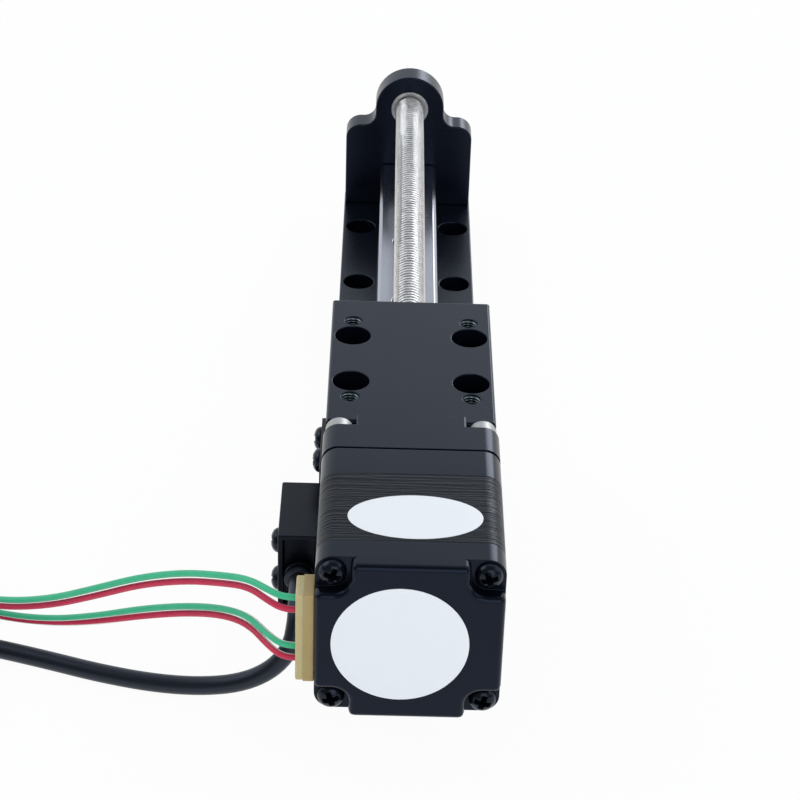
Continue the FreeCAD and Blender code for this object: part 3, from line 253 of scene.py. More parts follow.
def turned(radius, height, seats, out, turns=0.0):
    """Round pieces on their seats: a ring of each radius lies at each height along out, and each
    piece is turned about out by its own angle."""
    radius, height = np.broadcast_arrays(radius, height)
    around = np.linspace(0, 2 * math.pi, radius.shape[1], endpoint=False)
    angle = around + np.radians(np.broadcast_to(turns, len(seats)))[:, None]
    out = np.array(out, float)
    side = np.roll(out, 1)
    spokes = np.cos(angle)[..., None] * side + np.sin(angle)[..., None] * np.cross(out, side)
    ring = radius[..., None] * spokes[:, None] + height[..., None] * out
    return np.array(seats)[:, None, None] * MM + ring * MM


def cap_screws(head, tall, socket, thread, length):
    """Radii and heights of a cap screw: a hexagonal hole in a head with a rounded rim, then the
    plain shank. The hole's rings are the hexagon's distance at each angle times their size."""
    columns = 48
    flats = hexagon(np.linspace(0, 2 * math.pi, columns, endpoint=False))
    soft = tall * 0.08
    floor = tall * 0.45
    half = socket / 2
    hole = np.array([0, half * 0.97, half, half + soft])[:, None] * flats
    hole_heights = [floor, floor, tall - soft, tall]
    rim = np.linspace(0, math.pi / 2, 5)
    rim_radii = head / 2 - soft + soft * np.sin(rim)
    rim_heights = tall - soft + soft * np.cos(rim)
    body_radii = [head / 2, thread / 2, thread / 2, 0]
    body_heights = [0, 0, -length, -length]
    outside = np.concatenate([rim_radii, body_radii])[:, None] * np.ones(columns)
    heights = np.concatenate([hole_heights, rim_heights, body_heights])[:, None]
    return np.concatenate([hole, outside]), heights


def steel_screws(name, colour, metal, rough):
    """The steel of screws and other small turned parts, with a fine grain and a cloudy sheen."""
    finish, place = start_finish(name)
    sheen = cloud(place, 1.5 * MM)
    fine = cloud(place, 0.07 * MM, 1.0)
    darker = tuple(0.8 * c for c in colour[:3]) + (1,)
    close_finish(place, {
        "Base Color": tint(place, sheen, darker, colour),
        "Metallic": metal,
        "Roughness": rough + 0.12 * sheen,
        "Specular IOR Level": 0.36,
        "Specular Tint": (0.6, 0.75, 1, 1) if metal == 0 else (1, 1, 1, 1),
        "Normal": relief(place, fine, 0.003 * MM),
    })
    return finish


black_screws = steel_screws("black_screws", (0.003, 0.0036, 0.006, 1), 0.0, 0.16)


def fit_screws(
    node, name, profile, seats, out, turns, body="base", finish=black_screws
):
    """Screws of one profile on their seats, in place of a node's plain ones."""
    piece = skin(name, turned(*profile, seats, out, turns), finish, body)
    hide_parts(node)


# Head diameter, head height, socket and thread of the larger cap screws.
LARGE_CAP = (5.5, 3.0, 2.5, 3.0)
rail_screw_length = 7.5
rail_counterbore_floor = 12.2
holes_middle = 2.1
hole_pitch = 25
hole_order = np.arange(6)
turn_step = 37
rail_rows = holes_middle + hole_pitch * (hole_order - hole_order.mean())
rail_seats = [(0, y, rail_counterbore_floor) for y in rail_rows]
rail_profile = cap_screws(*LARGE_CAP, rail_screw_length)
rail_turns = hole_order * turn_step
fit_screws("rail_screws", "rail_cap_screws", rail_profile, rail_seats, (0, 0, 1), rail_turns)

# Guide block: a ground steel saddle that runs on the rail, with moulded end caps that turn its
# balls round and thin rubber wipers over the caps.
cap_plastic, place = start_finish("cap_plastic")
patches = cloud(place, 3 * MM)
skin_grain = cloud(place, 0.2 * MM)
close_finish(place, {
    "Base Color": tint(place, patches, (0.016, 0.018, 0.021, 1), (0.024, 0.026, 0.03, 1)),
    "Roughness": 0.45 + 0.12 * skin_grain,
    "Normal": relief(place, skin_grain, 0.01 * MM),
})
seal_rubber, place = start_finish("seal_rubber")
patches = cloud(place, 2 * MM)
close_finish(place, {
    "Base Color": tint(place, patches, (0.016, 0.016, 0.017, 1), (0.024, 0.024, 0.025, 1)),
    "Roughness": 0.62 + 0.15 * patches,
    "Normal": relief(place, cloud(place, 0.1 * MM), 0.006 * MM),
})
block_dark = (0.27, 0.275, 0.29, 1)
block_light = (0.34, 0.345, 0.36, 1)
block_steel = ground_steel("block_steel", block_dark, block_light, 0.28, 0.0015 * MM)
eased("guide_block", 0.2 * MM, block_steel, "carriage")
for part, width, finish in (("cap", 0.25, cap_plastic), ("seal", 0.1, seal_rubber)):
    for end in ("rear", "front"):
        eased(f"block_{end}_{part}", width * MM, finish, "carriage")

# Carriage table: a milled aluminium block, blasted and anodised like the base plate. Four cap
# screws hold it to the guide block, and four threaded holes in its top take the load.
nut_seat = -33.1
eased("carriage_table", 0.18 * MM, black_anodised, "carriage", [("y", nut_seat, math.inf, 0.5)])


def pair(middle, pitch):
    """Two places a pitch apart, on either side of the middle."""
    return middle - pitch / 2, middle + pitch / 2


table_middle = -50.1
table_counterbore_floor = 34.2
table_screw_length = 16.5
table_column_pitch = 20
table_screw_pitch = 15
table_columns = pair(0, table_column_pitch)
table_rows = pair(table_middle, table_screw_pitch)
table_seats = [(x, y, table_counterbore_floor) for x in table_columns for y in table_rows]
table_turns = [8, 41, 23, 52]
fit_screws(
    "table_screws",
    "table_cap_screws",
    cap_screws(*LARGE_CAP, table_screw_length),
    table_seats,
    (0, 0, 1),
    table_turns,
    body="carriage",
)

# The wall of a threaded hole: its turns, the rings of each turn, and the rings of its outside.
THREAD_TURNS = 12
TURN_RINGS = 9
OUTSIDE_RINGS = 3


def thread_wall(outer, depth, pitch):
    """A threaded hole's wall: going down, the radius swings between crest and root once a pitch
    and the swing is turned round with the angle, and the outside comes back up as a cylinder."""
    columns = 28
    wall = 0.02
    deep = THREAD_TURNS * pitch
    down = np.linspace(0, deep, THREAD_TURNS * TURN_RINGS + 1)[:, None]
    around = np.linspace(0, 2 * math.pi, columns, endpoint=False)
    swing = np.cos(2 * math.pi * down / pitch + around)
    crest = np.clip(0.5 + 0.75 * swing, 0, 1)
    lead_in = np.clip(down / pitch, 0, 1)
    inside = outer - wall - depth * crest * lead_in
    back = np.full((2, columns), outer)
    radius = np.concatenate([inside, back, inside[:1]])
    height = np.concatenate([-down, [[-deep], [0]], [[0]]])
    return radius, height


def surface_map(place):
    """How far along a skin a point lies and how far round it, both from 0 to 1."""
    surface = place.node("ShaderNodeUVMap", {"uv_map": "surface"}, {})
    return surface.part("X"), surface.part("Y")


thread_black, place = start_finish("thread_black")
along, round_it = surface_map(place)
turns_down = along * ((THREAD_TURNS * TURN_RINGS + OUTSIDE_RINGS) / TURN_RINGS)
swing = place.maths("COSINE", (turns_down + round_it) * (2 * math.pi))
# The base colour is light on the thread's crests, partly wear and partly a painted highlight, and near
# black in its roots as painted shade.
wear_highlight_and_root_shade = swing.ramp(-0.4, 0.7)
fine = cloud(place, 0.1 * MM)
close_finish(place, {
    "Base Color": tint(place, wear_highlight_and_root_shade, (0.008, 0.012, 0.014, 1), (0.17, 0.22, 0.245, 1)),
    "Metallic": 0.85,
    "Roughness": 0.2 + 0.12 * fine,
})
thread_top = 41.68
hole_rows = pair(table_middle, hole_pitch)
hole_seats = [(x, y, thread_top) for x in table_columns for y in hole_rows]
hole_radius = 1.495
hole_thread_depth = 0.26
hole_thread_pitch = 0.5
hole_wall = thread_wall(hole_radius, hole_thread_depth, hole_thread_pitch)
grid = turned(*hole_wall, hole_seats, (0, 0, 1))
skin("table_hole_threads", grid, thread_black, "carriage")

# Lead nut: a flanged brass bush, turned from bar, that the lead screw runs in. It sits in the
# table's bore, and three small screws hold its flange.
brass_nut, place = start_finish("brass_nut")
patches = cloud(place, 2.5 * MM)
close_finish(place, {
    "Base Color": tint(place, patches, (0.50, 0.33, 0.12, 1), (0.60, 0.42, 0.18, 1)),
    "Metallic": 1.0,
    "Roughness": 0.24 + 0.18 * patches,
    "Normal": relief(place, cloud(place, 0.12 * MM), 0.004 * MM),
})
eased("lead_nut", 0.15 * MM, brass_nut, "carriage", [("y", nut_seat, math.inf, 0.4)])


def pan_screws(head, tall, thread, length):
    """Radii and heights of a pan-head screw. In section the head is a rounded box, where the
    powers of radius and height add up to one. The recess is a cross: at each angle its side is
    the arm's end over the cosine or the arm's half width over the sine, whichever is nearer."""
    columns = 72
    around = np.linspace(0, 2 * math.pi, columns, endpoint=False)
    quarter = math.pi / 2
    from_arm = np.abs((around + quarter / 2) % quarter - quarter / 2)
    arm_end = head * 0.3
    arm_half = arm_end * math.tan(math.radians(19))
    cross = np.minimum(arm_end / np.cos(from_arm), arm_half / np.maximum(np.sin(from_arm), 0.001))
    recess_depth = 0.35 * tall
    lip_drop = 0.08 * tall
    power = 2.2
    rim_start = 0.845
    walls = np.array([0, 0.6, 0.97])[:, None] * cross
    lip = 1.05 * cross
    flat_end = 0.4 * head
    top = lip + np.array([0, 0.3, 0.65])[:, None] * (flat_end - lip)
    swing = np.linspace(rim_start, quarter, 8)[:, None]
    rim = head / 2 * np.sin(swing) ** (2 / power) * np.ones(columns)
    crown = np.concatenate([walls[2:], top, rim])
    crown_heights = tall * np.clip(1 - (2 * crown / head) ** power, 0, 1) ** (1 / power)
    crown_heights[0] -= lip_drop
    floor_heights = np.full((2, columns), -recess_depth)
    body = np.array([[thread / 2], [thread / 2], [0]]) * np.ones(columns)
    body_heights = np.array([[0], [-length], [-length]]) * np.ones(columns)
    radius = np.concatenate([walls[:2], crown, body])
    return radius, np.concatenate([floor_heights, crown_heights, body_heights])


AXIS_HEIGHT = 30
flange_front = -30.1
screw_circle = 5.8
nut_angles = np.radians([90, 210, 330])
nut_across = screw_circle * np.cos(nut_angles)
nut_up = AXIS_HEIGHT + screw_circle * np.sin(nut_angles)
nut_seats = np.column_stack([nut_across, np.full(3, flange_front), nut_up])
nut_profile = pan_screws(head=3.4, tall=1.3, thread=2.0, length=6.6)
nut_turns = [15, 70, 40]
fit_screws("nut_screws", "nut_pan_screws", nut_profile, nut_seats, (0, 1, 0), nut_turns, "carriage")

# Motor bracket: a milled and anodised plate on the base plate's end, held from below. It has
# notched corners for the bright heads of the screws that hold the motor.
bracket_front = -71.8
mount_screw_floor = -74.8
bracket_rear = -81.5
lower_holes_top = 21.5
bracket_shares = [
    ("y", bracket_front, math.inf, 0.25),
    ("y", bracket_front, lower_holes_top, 0.35),
    ("y", mount_screw_floor, math.inf, 0.4),
    ("y", bracket_rear, math.inf, 0.2),
]
eased("motor_bracket", 0.4 * MM, black_anodised, shares=bracket_shares)
bracket_middle = (bracket_front + bracket_rear) / 2
bracket_counterbore = 3.4
bracket_screw_length = 9.1
bracket_screw_pitch = 16
under_seats = [(x, bracket_middle, bracket_counterbore) for x in pair(0, bracket_screw_pitch)]
under_profile = cap_screws(*LARGE_CAP, bracket_screw_length)
under_turns = [12, 33]
fit_screws("bracket_screws", "bracket_cap_screws", under_profile, under_seats, (0, 0, -1), under_turns)
bright_screws = steel_screws("bright_screws", (0.45, 0.445, 0.435, 1), 1.0, 0.38)
# Head diameter, head height, socket and thread of the smaller cap screws.
SMALL_CAP = (4.5, 2.5, 2.0, 2.5)
MOTOR_SQUARE = 23
mount_screw_length = 9.7
mount_heights = pair(AXIS_HEIGHT, MOTOR_SQUARE)
mount_seats = [(x, mount_screw_floor, z) for x in pair(0, MOTOR_SQUARE) for z in mount_heights]
mount_turns = [5, 38, 20, 47]
fit_screws(
    "motor_mount_screws",
    "motor_cap_screws",
    cap_screws(*SMALL_CAP, mount_screw_length),
    mount_seats,
    (0, 1, 0),
    mount_turns,
    finish=bright_screws,
)

# End plate: a milled and anodised plate with shoulders and a round bump, which holds the small
# ball bearing of the screw's far end.
eased("end_plate", 0.3 * MM, black_anodised)
end_row = 78.2
end_counterbore = 2.9
end_screw_length = 8.35
end_screw_pitch = 18
end_seats = [(x, end_row, end_counterbore) for x in pair(0, end_screw_pitch)]
end_profile = cap_screws(*SMALL_CAP, end_screw_length)
end_turns = [25, 4]
fit_screws("end_plate_screws", "end_cap_screws", end_profile, end_seats, (0, 0, -1), end_turns)


def dress(node, finish):
    """Gives a solid that keeps its shape its finish."""
    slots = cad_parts[node].data.materials
    slots.clear()
    slots.append(finish)


bearing_steel = steel_screws("bearing_steel", (0.60, 0.60, 0.61, 1), 1.0, 0.16)
for end in ("front", "rear", "end"):
    dress(f"{end}_bearing_outer_race", bearing_steel)
    dress(f"{end}_bearing_inner_race", bearing_steel)
dress("bearing_shields", steel_screws("bearing_shields", (0.34, 0.34, 0.35, 1), 1.0, 0.3))
dress("wave_washer", bearing_steel)

# Lead screw: a rolled stainless thread of one millimetre lead, with the motor's shaft turned on
# one end and a journal on the other. Towards the end plate the thread gets shallower.
screw_steel, place = start_finish("screw_steel")
upward = place.part("Z") - AXIS_HEIGHT * MM
from_axis = (place.part("X") ** 2 + upward ** 2) ** 0.5
root_radius = 2.55
crest_radius = 2.95
crest = from_axis.ramp(root_radius * MM, crest_radius * MM)
fine = cloud(place, 0.3 * MM)
marks = cloud(place, 0.9 * MM, 3.0).ramp(0.35, 0.65)
# The base colour is painted light on the thread's crests as a painted highlight, varied by random marks,
# and dark in its roots as painted shade.
crest_highlight_and_root_shade = crest * (0.6 + 0.4 * marks)
close_finish(place, {
    "Base Color": tint(place, crest_highlight_and_root_shade, (0.33, 0.32, 0.31, 1), (0.82, 0.80, 0.79, 1)),
    "Metallic": 1.0,
    "Roughness": 0.30 - 0.12 * crest + 0.08 * fine,
    "Normal": relief(place, fine + 0.8 * marks, 0.042 * MM),
})


def screw_bar():
    """Radii and places along a threaded bar. Along the thread the radius swings between crest
    and root once a lead, turned round with the angle. The swing starts from nothing at the motor
    and fades to half towards the far end."""
    columns = 30
    rings = 1595
    shaft_end = -111.8
    thread_start = -83.6
    thread_end = 75.7
    journal_end = 79.0
    shaft = 2.5
    thread = 3.0
    journal = 1.98
    lead = 1.0
    thread_depth = 0.4
    run_out = 27
    bar = np.linspace(thread_start, thread_end, rings)
    rear = [shaft_end, shaft_end, thread_start]
    far = [thread_end, journal_end, journal_end]
    along = np.concatenate([rear, bar, far])
    plain = np.concatenate([[0, shaft, shaft], np.full(rings, thread), [journal, journal, 0]])
    around = np.linspace(0, 2 * math.pi, columns, endpoint=False)
    swing = np.clip(0.25 + 0.75 * np.cos(2 * math.pi * along[:, None] / lead + around), 0, 1)
    cut_in = np.clip((along - thread_start) / lead - 1, 0, 1)
    fade = np.clip((thread_end - along) / run_out, 0.5, 1)
    depth = thread_depth * (cut_in * fade)[:, None] * swing
    return plain[:, None] - depth, along[:, None]


grid = turned(*screw_bar(), [(0, 0, AXIS_HEIGHT)], (0, 1, 0))
piece = skin("lead_screw_thread", grid, screw_steel, "screw")
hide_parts("lead_screw")

# Motor: die-cast covers on both ends of a stack of laminations, all painted black. The
# windings on their bobbins and the toothed rotor are inside.
motor_casting, place = start_finish("motor_casting")
patches = cloud(place, 6 * MM)
orange_peel = cloud(place, 0.5 * MM, 3.0)
close_finish(place, {
    "Base Color": tint(place, patches, (0.0016, 0.002, 0.0042, 1), (0.0024, 0.003, 0.0058, 1)),
    "Roughness": 0.20 + 0.06 * patches,
    "Specular IOR Level": 0.27,
    "Specular Tint": (0.5, 0.65, 1, 1),
    "Normal": relief(place, orange_peel, 0.006 * MM),
})
stack_front = -88.9
stack_rear = -106.8
case_screw_floor = -111.1
slot_rear = -111.85
slot_low = 22.85
slot_high = 36.65
eased("motor_front_cover", 0.6 * MM, motor_casting, shares=[("y", stack_front, math.inf, 0.15)])
rear_shares = [
    ("y", stack_rear, math.inf, 0.04),
    ("y", case_screw_floor, math.inf, 0.1),
    ("y", slot_rear, math.inf, 0.1),
    ("z", slot_low, math.inf, 0.1),
    ("z", slot_high, math.inf, 0.1),
]
eased("motor_rear_cover", 0.95 * MM, motor_casting, shares=rear_shares)

lamination_steel, place = start_finish("lamination_steel")
stretched = place.node("ShaderNodeMapping", {}, {"Vector": place, "Scale": (0.03, 1, 0.03)})
sheets = cloud(stretched, 0.42 * MM, 0.0)
drawn_out = place.node("ShaderNodeMapping", {}, {"Vector": place, "Scale": (0.15, 1, 0.15)})
ragged = cloud(drawn_out, 0.3 * MM, 2.0)
stack = (sheets * 0.65 + ragged * 0.35).ramp(0.36, 0.62)
close_finish(place, {
    "Base Color": tint(place, stack, (0.001, 0.0011, 0.0018, 1), (0.0035, 0.004, 0.0062, 1)),
    "Roughness": 0.44 - 0.16 * stack,
    "Specular IOR Level": 0.2,
    "Specular Tint": (0.65, 0.78, 1, 1),
    "Normal": relief(place, stack, 0.055 * MM),
})
dress("motor_stator", lamination_steel)

copper_wire, place = start_finish("copper_wire")
wire_thick = 0.3
waves_per_scale = 20 / (2 * math.pi)
# The bands are the wire's turns; the base colour is darker between them, as painted shade in the creases
# between the wires.
turns = place.node("ShaderNodeTexWave", {"bands_direction": "DIAGONAL"}, {
    "Vector": place,
    "Scale": 1 / (waves_per_scale * wire_thick * MM),
    "Distortion": 0.5,
})
close_finish(place, {
    "Base Color": tint(place, turns, (0.35, 0.12, 0.04, 1), (0.62, 0.26, 0.10, 1)),
    "Metallic": 1.0,
    "Roughness": 0.42 - 0.15 * turns,
    "Normal": relief(place, turns, 0.05 * MM),
})
dress("motor_windings", copper_wire)

bobbin_plastic, place = start_finish("bobbin_plastic")
patches = cloud(place, 2 * MM)
close_finish(place, {
    "Base Color": tint(place, patches, (0.52, 0.50, 0.44, 1), (0.60, 0.58, 0.52, 1)),
    "Roughness": 0.42 + 0.12 * patches,
})
dress("winding_bobbins", bobbin_plastic)

rotor_steel = steel_screws("rotor_steel", (0.42, 0.42, 0.43, 1), 1.0, 0.34)
magnet = steel_screws("magnet", (0.30, 0.29, 0.29, 1), 1.0, 0.42)
dress("rotor_rear_cup", rotor_steel)
dress("rotor_front_cup", rotor_steel)
dress("rotor_magnet", magnet)

case_seats = [(x, case_screw_floor, z) for x in pair(0, MOTOR_SQUARE) for z in mount_heights]
case_profile = pan_screws(head=4.25, tall=1.65, thread=2.5, length=25.2)
case_turns = [16, -17, -16, 15]
fit_screws("motor_case_screws", "case_pan_screws", case_profile, case_seats, (0, -1, 0), case_turns)

# Labels: two blank stickers of white film, a round one on the motor's rear cover and an oval
# one on the stack's top.
white_label, place = start_finish("white_label")
fibre = cloud(place, 0.25 * MM, 3.0)
close_finish(place, {
    "Base Color": tint(place, fibre, (0.80, 0.81, 0.83, 1), (0.84, 0.85, 0.87, 1)),
    "Roughness": 0.38 + 0.1 * fibre,
    "Normal": relief(place, fibre, 0.003 * MM),
})


def sticker(half_width, half_height, thick):
    """An oval of film: rings of the oval from its middle to its edge, over the edge and back."""
    columns = 96
    around = np.linspace(0, 2 * math.pi, columns, endpoint=False)
    across = np.hypot(half_height * np.cos(around), half_width * np.sin(around))
    oval = half_width * half_height / across
    share = np.array([0, 0.35, 0.7, 0.97, 1, 1, 0.7, 0])[:, None]
    height = np.array([1, 1, 1, 1, 0.6, 0, 0, 0])[:, None] * thick
    return share * oval, height


film = 0.1
motor_rear = -113.5
motor_top = 44.1
rear_label = turned(*sticker(10.3, 10.3, film), [(-1.3, motor_rear, AXIS_HEIGHT)], (0, -1, 0))
skin("rear_label", rear_label, white_label, "base")
top_label = turned(*sticker(10.2, 5.7, film), [(0.6, -100.5, motor_top)], (0, 0, 1))
skin("top_label", top_label, white_label, "base")

# Connector: a moulded cream header in the rear cover's side, and the plug pushed into it, which
# carries the four leads.


def waxy_nylon(name, dark, light):
    """Unpainted nylon, which lets a little light through and is cloudy inside."""
    finish, place = start_finish(name)
    patches = cloud(place, 3 * MM)
    close_finish(place, {
        "Base Color": tint(place, patches, dark, light),
        "Roughness": 0.36 + 0.1 * patches,
        "Subsurface Weight": 0.4,
        "Subsurface Radius": (1, 0.75, 0.35),
        "Subsurface Scale": 1.2 * MM,
        "Normal": relief(place, cloud(place, 0.3 * MM), 0.006 * MM),
    })
    return finish


# The header's nylon is darker and more saturated than the plug's: partly its own tone, partly painted
# shade where it sits against the motor.
header_nylon_with_shade = waxy_nylon("header_nylon_with_shade", (0.37, 0.265, 0.10, 1), (0.43, 0.32, 0.135, 1))
plug_nylon = waxy_nylon("plug_nylon", (0.465, 0.375, 0.175, 1), (0.535, 0.445, 0.225, 1))
pin_metal = steel_screws("pin_metal", (0.72, 0.62, 0.40, 1), 1.0, 0.2)
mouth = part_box("connector_header")[0][0] / MM
eased("connector_header", 0.2 * MM, header_nylon_with_shade, shares=[("x", mouth, math.inf, 0.2)])
eased("connector_plug", 0.3 * MM, plug_nylon, shares=[("x", mouth, math.inf, 0.1)])
dress("header_pins", pin_metal)

# Home sensor: a moulded fork screwed to the bracket's side, with the slot that the flag enters.
# Its cable comes out of the recess at its rear through a rubber boot.
sensor_plastic, place = start_finish("sensor_plastic")
patches = cloud(place, 4 * MM)
spark = cloud(place, 0.16 * MM)
close_finish(place, {
    "Base Color": tint(place, patches, (0.0012, 0.0015, 0.003, 1), (0.0018, 0.0022, 0.0042, 1)),
    "Roughness": 0.28 + 0.08 * spark,
    "Specular IOR Level": 0.2,
    "Specular Tint": (0.6, 0.72, 1, 1),
    "Normal": relief(place, spark, 0.01 * MM),
})
eased("sensor_body", 0.2 * MM, sensor_plastic)
# Head diameter, head height and thread of the small pan-head screws.
SMALL_PAN = (4.1, 1.3, 2.0)
sensor_screw_length = 8.8
sensor_side = -21.1
sensor_screw_row = -75.9
sensor_screw_middle = 18.1
sensor_screw_pitch = 7.6
sensor_heights = pair(sensor_screw_middle, sensor_screw_pitch)
sensor_seats = [(sensor_side, sensor_screw_row, z) for z in sensor_heights]
sensor_profile = pan_screws(*SMALL_PAN, sensor_screw_length)
sensor_turns = [20, 55]
fit_screws("sensor_screws", "sensor_pan_screws", sensor_profile, sensor_seats, (-1, 0, 0), sensor_turns)

cable_rubber, place = start_finish("cable_rubber")
patches = cloud(place, 5 * MM)
matt = cloud(place, 0.12 * MM)
close_finish(place, {
    "Base Color": tint(place, patches, (0.0022, 0.0026, 0.0045, 1), (0.0034, 0.004, 0.006, 1)),
    "Roughness": 0.34 + 0.1 * matt,
    "Specular IOR Level": 0.54,
    "Specular Tint": (0.65, 0.76, 1, 1),
    "Normal": relief(place, matt, 0.004 * MM),
})
boot_columns = 40
boot_radii = np.array([0, 1.55, 2.15, 2.4, 2.4, 2.1, 2.1, 2.4, 2.4, 0])[:, None] * np.ones(boot_columns)
boot_heights = np.array([2.7, 2.7, 2.6, 2.35, 1.75, 1.65, 1.2, 1.1, 0, 0])[:, None]
boot_seat = (-17.6, -78.4, 17.55)
grid = turned(boot_radii, boot_heights, [boot_seat], (0, -1, 0))
piece = skin("cable_boot", grid, cable_rubber, "base")
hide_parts("sensor_boot")

# Sensor flag: a bent and blackened steel sheet on the table's side, held by two screws. Its
# blade goes into the sensor's slot when the table is home.
flag_sheet, place = start_finish("flag_sheet")
patches = cloud(place, 4 * MM)
rolled = cloud(place, 0.2 * MM)
close_finish(place, {
    "Base Color": tint(place, patches, (0.0016, 0.002, 0.004, 1), (0.0024, 0.003, 0.0055, 1)),
    "Roughness": 0.26 + 0.1 * rolled,
    "Specular IOR Level": 0.28,
    "Normal": relief(place, rolled, 0.006 * MM),
})
eased("sensor_flag", 0.12 * MM, flag_sheet, "carriage")
flag_side = -14.8
flag_middle = -60.8
flag_screw_length = 2.8
flag_screw_pitch = 6.6
flag_seats = [(flag_side, y, AXIS_HEIGHT) for y in pair(flag_middle, flag_screw_pitch)]
flag_profile = pan_screws(*SMALL_PAN, flag_screw_length)
flag_turns = [10, 35]
fit_screws("flag_screws", "flag_pan_screws", flag_profile, flag_seats, (-1, 0, 0), flag_turns, "carriage")

# Motor leads: four stranded wires in thin green and red insulation. They leave the plug in two
# pairs, fall to the bench in one long curve, and their spare length is coiled and tied.
LEAD_POINTS = {
    "upper_green": [
        (-16.9, -109.6, 35.375),
        (-18.7, -109.6, 35.375),
        (-21.0, -108.3, 35.6),
        (-24.2, -105.4, 35.5),
        (-28.8, -102.0, 33.6),
        (-34.6, -98.4, 31.25),
        (-41.8, -94.6, 27.4),
        (-49.1, -91.2, 22.6),
        (-57.5, -86.4, 16.6),
        (-66.8, -79.8, 11.0),
        (-76.5, -72.0, 6.9),
        (-85.3, -63.8, 4.4),
        (-91.8, -56.2, 3.8),
    ],
    "upper_red": [
        (-16.9, -109.6, 33.125),
        (-18.7, -109.6, 33.125),
        (-21.0, -108.2, 33.55),
        (-24.2, -105.2, 33.9),
        (-28.8, -101.8, 32.0),
        (-34.6, -98.3, 29.65),
        (-41.8, -94.4, 25.8),
        (-49.1, -90.9, 20.9),
        (-57.5, -86.0, 14.95),
        (-66.8, -79.5, 9.4),
        (-76.5, -72.0, 5.4),
        (-85.3, -64.1, 3.2),
        (-91.8, -56.2, 2.71),
    ],
    "lower_green": [
        (-16.9, -109.6, 26.375),
        (-18.7, -109.6, 26.375),
        (-21.0, -107.8, 26.7),
        (-24.4, -103.1, 26.9),
        (-29.0, -98.1, 24.5),
        (-35.3, -93.0, 20.85),
        (-42.7, -89.0, 17.0),
        (-50.1, -86.1, 13.2),
        (-58.4, -82.2, 9.3),
        (-67.7, -76.6, 5.9),
        (-76.8, -69.9, 3.5),
        (-85.0, -62.7, 2.1),
        (-91.8, -56.2, 1.62),
    ],
    "lower_red": [
        (-16.9, -109.6, 24.125),
        (-18.7, -109.6, 24.125),
        (-21.0, -107.8, 24.7),
        (-24.4, -103.0, 25.2),
        (-29.0, -98.0, 23.1),
        (-35.3, -93.0, 19.45),
        (-42.7, -88.9, 15.5),
        (-50.1, -85.8, 11.75),
        (-58.4, -81.5, 7.95),
        (-67.7, -75.9, 4.6),
        (-76.8, -69.4, 2.2),
        (-85.0, -62.8, 0.95),
        (-91.8, -56.2, 0.53),
    ],
}


def spiral(middle, entry, way, radius, pitch, turns, height, rise=0.0):
    """Points of a flat coil: the angle goes on from the entry by a sixteenth of a turn at a time,
    and the radius changes by one pitch and the height by one rise in each turn."""
    turn_points = 16
    turn = np.arange(round(turns * turn_points) + 1) / turn_points
    angle = math.radians(entry) + way * 2 * math.pi * turn
    reach = radius + pitch * turn
    flat = [middle[0] + reach * np.cos(angle), middle[1] + reach * np.sin(angle)]
    return np.column_stack(flat + [height + rise * turn])


def smooth_line(points):
    """Points along the smooth spline that the route's points control, in metres."""
    line = bpy.data.curves.new("route", "CURVE")
    line.dimensions = "3D"
    line.resolution_u = 5
    spline = line.splines.new("NURBS")
    spline.points.add(len(points) - 1)
    weighted = np.column_stack([points * MM, np.ones(len(points))])
    spline.points.foreach_set("co", weighted.ravel())
    spline.order_u = 3
    spline.use_endpoint_u = True
    guide = bpy.data.objects.new("route", line)
    mesh = bpy.data.meshes.new_from_object(guide)
    path = np.empty(len(mesh.vertices) * 3)
    mesh.vertices.foreach_get("co", path)
    bpy.data.meshes.remove(mesh)
    bpy.data.objects.remove(guide)
    bpy.data.curves.remove(line)
    return path.reshape(-1, 3)


def insulation(path, radius, columns=14):
    """A tube round a line: at each of its points a ring lies across the line, and the first
    point of each ring is uppermost. Rings of no size close its ends."""
    ahead = np.gradient(path, axis=0)
    ahead /= np.linalg.norm(ahead, axis=1, keepdims=True)
    side = np.cross(ahead, (0, 0, 1))
    side /= np.linalg.norm(side, axis=1, keepdims=True)
    lift = np.cross(side, ahead)
    around = np.linspace(0, 2 * math.pi, columns, endpoint=False)[:, None]
    rings = np.cos(around) * lift[:, None] + np.sin(around) * side[:, None]
    rows = np.concatenate([[0], np.arange(len(path)), [len(path) - 1]])
    size = np.concatenate([[0], np.full(len(path), radius), [0]])
    return (path[rows][:, None] + rings[rows] * size[:, None, None])[None]


def wire_plastic(name, dark, light, stripe):
    """Soft plastic insulation, a little mottled. A stripe, where the wire has one, is a pale line
    along it, which leaves the plug on top and goes half round the wire in the first bend."""
    finish, place = start_finish(name)
    mottle = cloud(place, 2 * MM)
    colour = tint(place, mottle, dark, light)
    if stripe:
        along, round_it = surface_map(place)
        middle = place.node("ShaderNodeMapRange", {"interpolation_type": "SMOOTHSTEP"}, {
            "Value": along,
            "From Min": 0.03,
            "From Max": 0.075,
            "To Min": 0.10,
            "To Max": 0.60,
        })
        stripe_edge = 0.10
        stripe_core = 0.085
        line = place.maths("ABSOLUTE", round_it - middle).ramp(stripe_edge, stripe_core)
        colour = tint(place, line, colour, stripe)
    close_finish(place, {
        "Base Color": colour,
        "Roughness": 0.34 + 0.1 * mottle,
        "Normal": relief(place, cloud(place, 0.4 * MM), 0.006 * MM),
    })
    return finish


lead_finishes = {}
for row, stripe in (("upper", None), ("lower", (0.80, 0.79, 0.72, 1))):
    green = wire_plastic(f"{row}_green", (0.028, 0.41, 0.19, 1), (0.042, 0.49, 0.25, 1), stripe)
    red = wire_plastic(f"{row}_red", (0.50, 0.012, 0.055, 1), (0.60, 0.02, 0.075, 1), stripe)
    lead_finishes[f"{row}_green"] = green
    lead_finishes[f"{row}_red"] = red


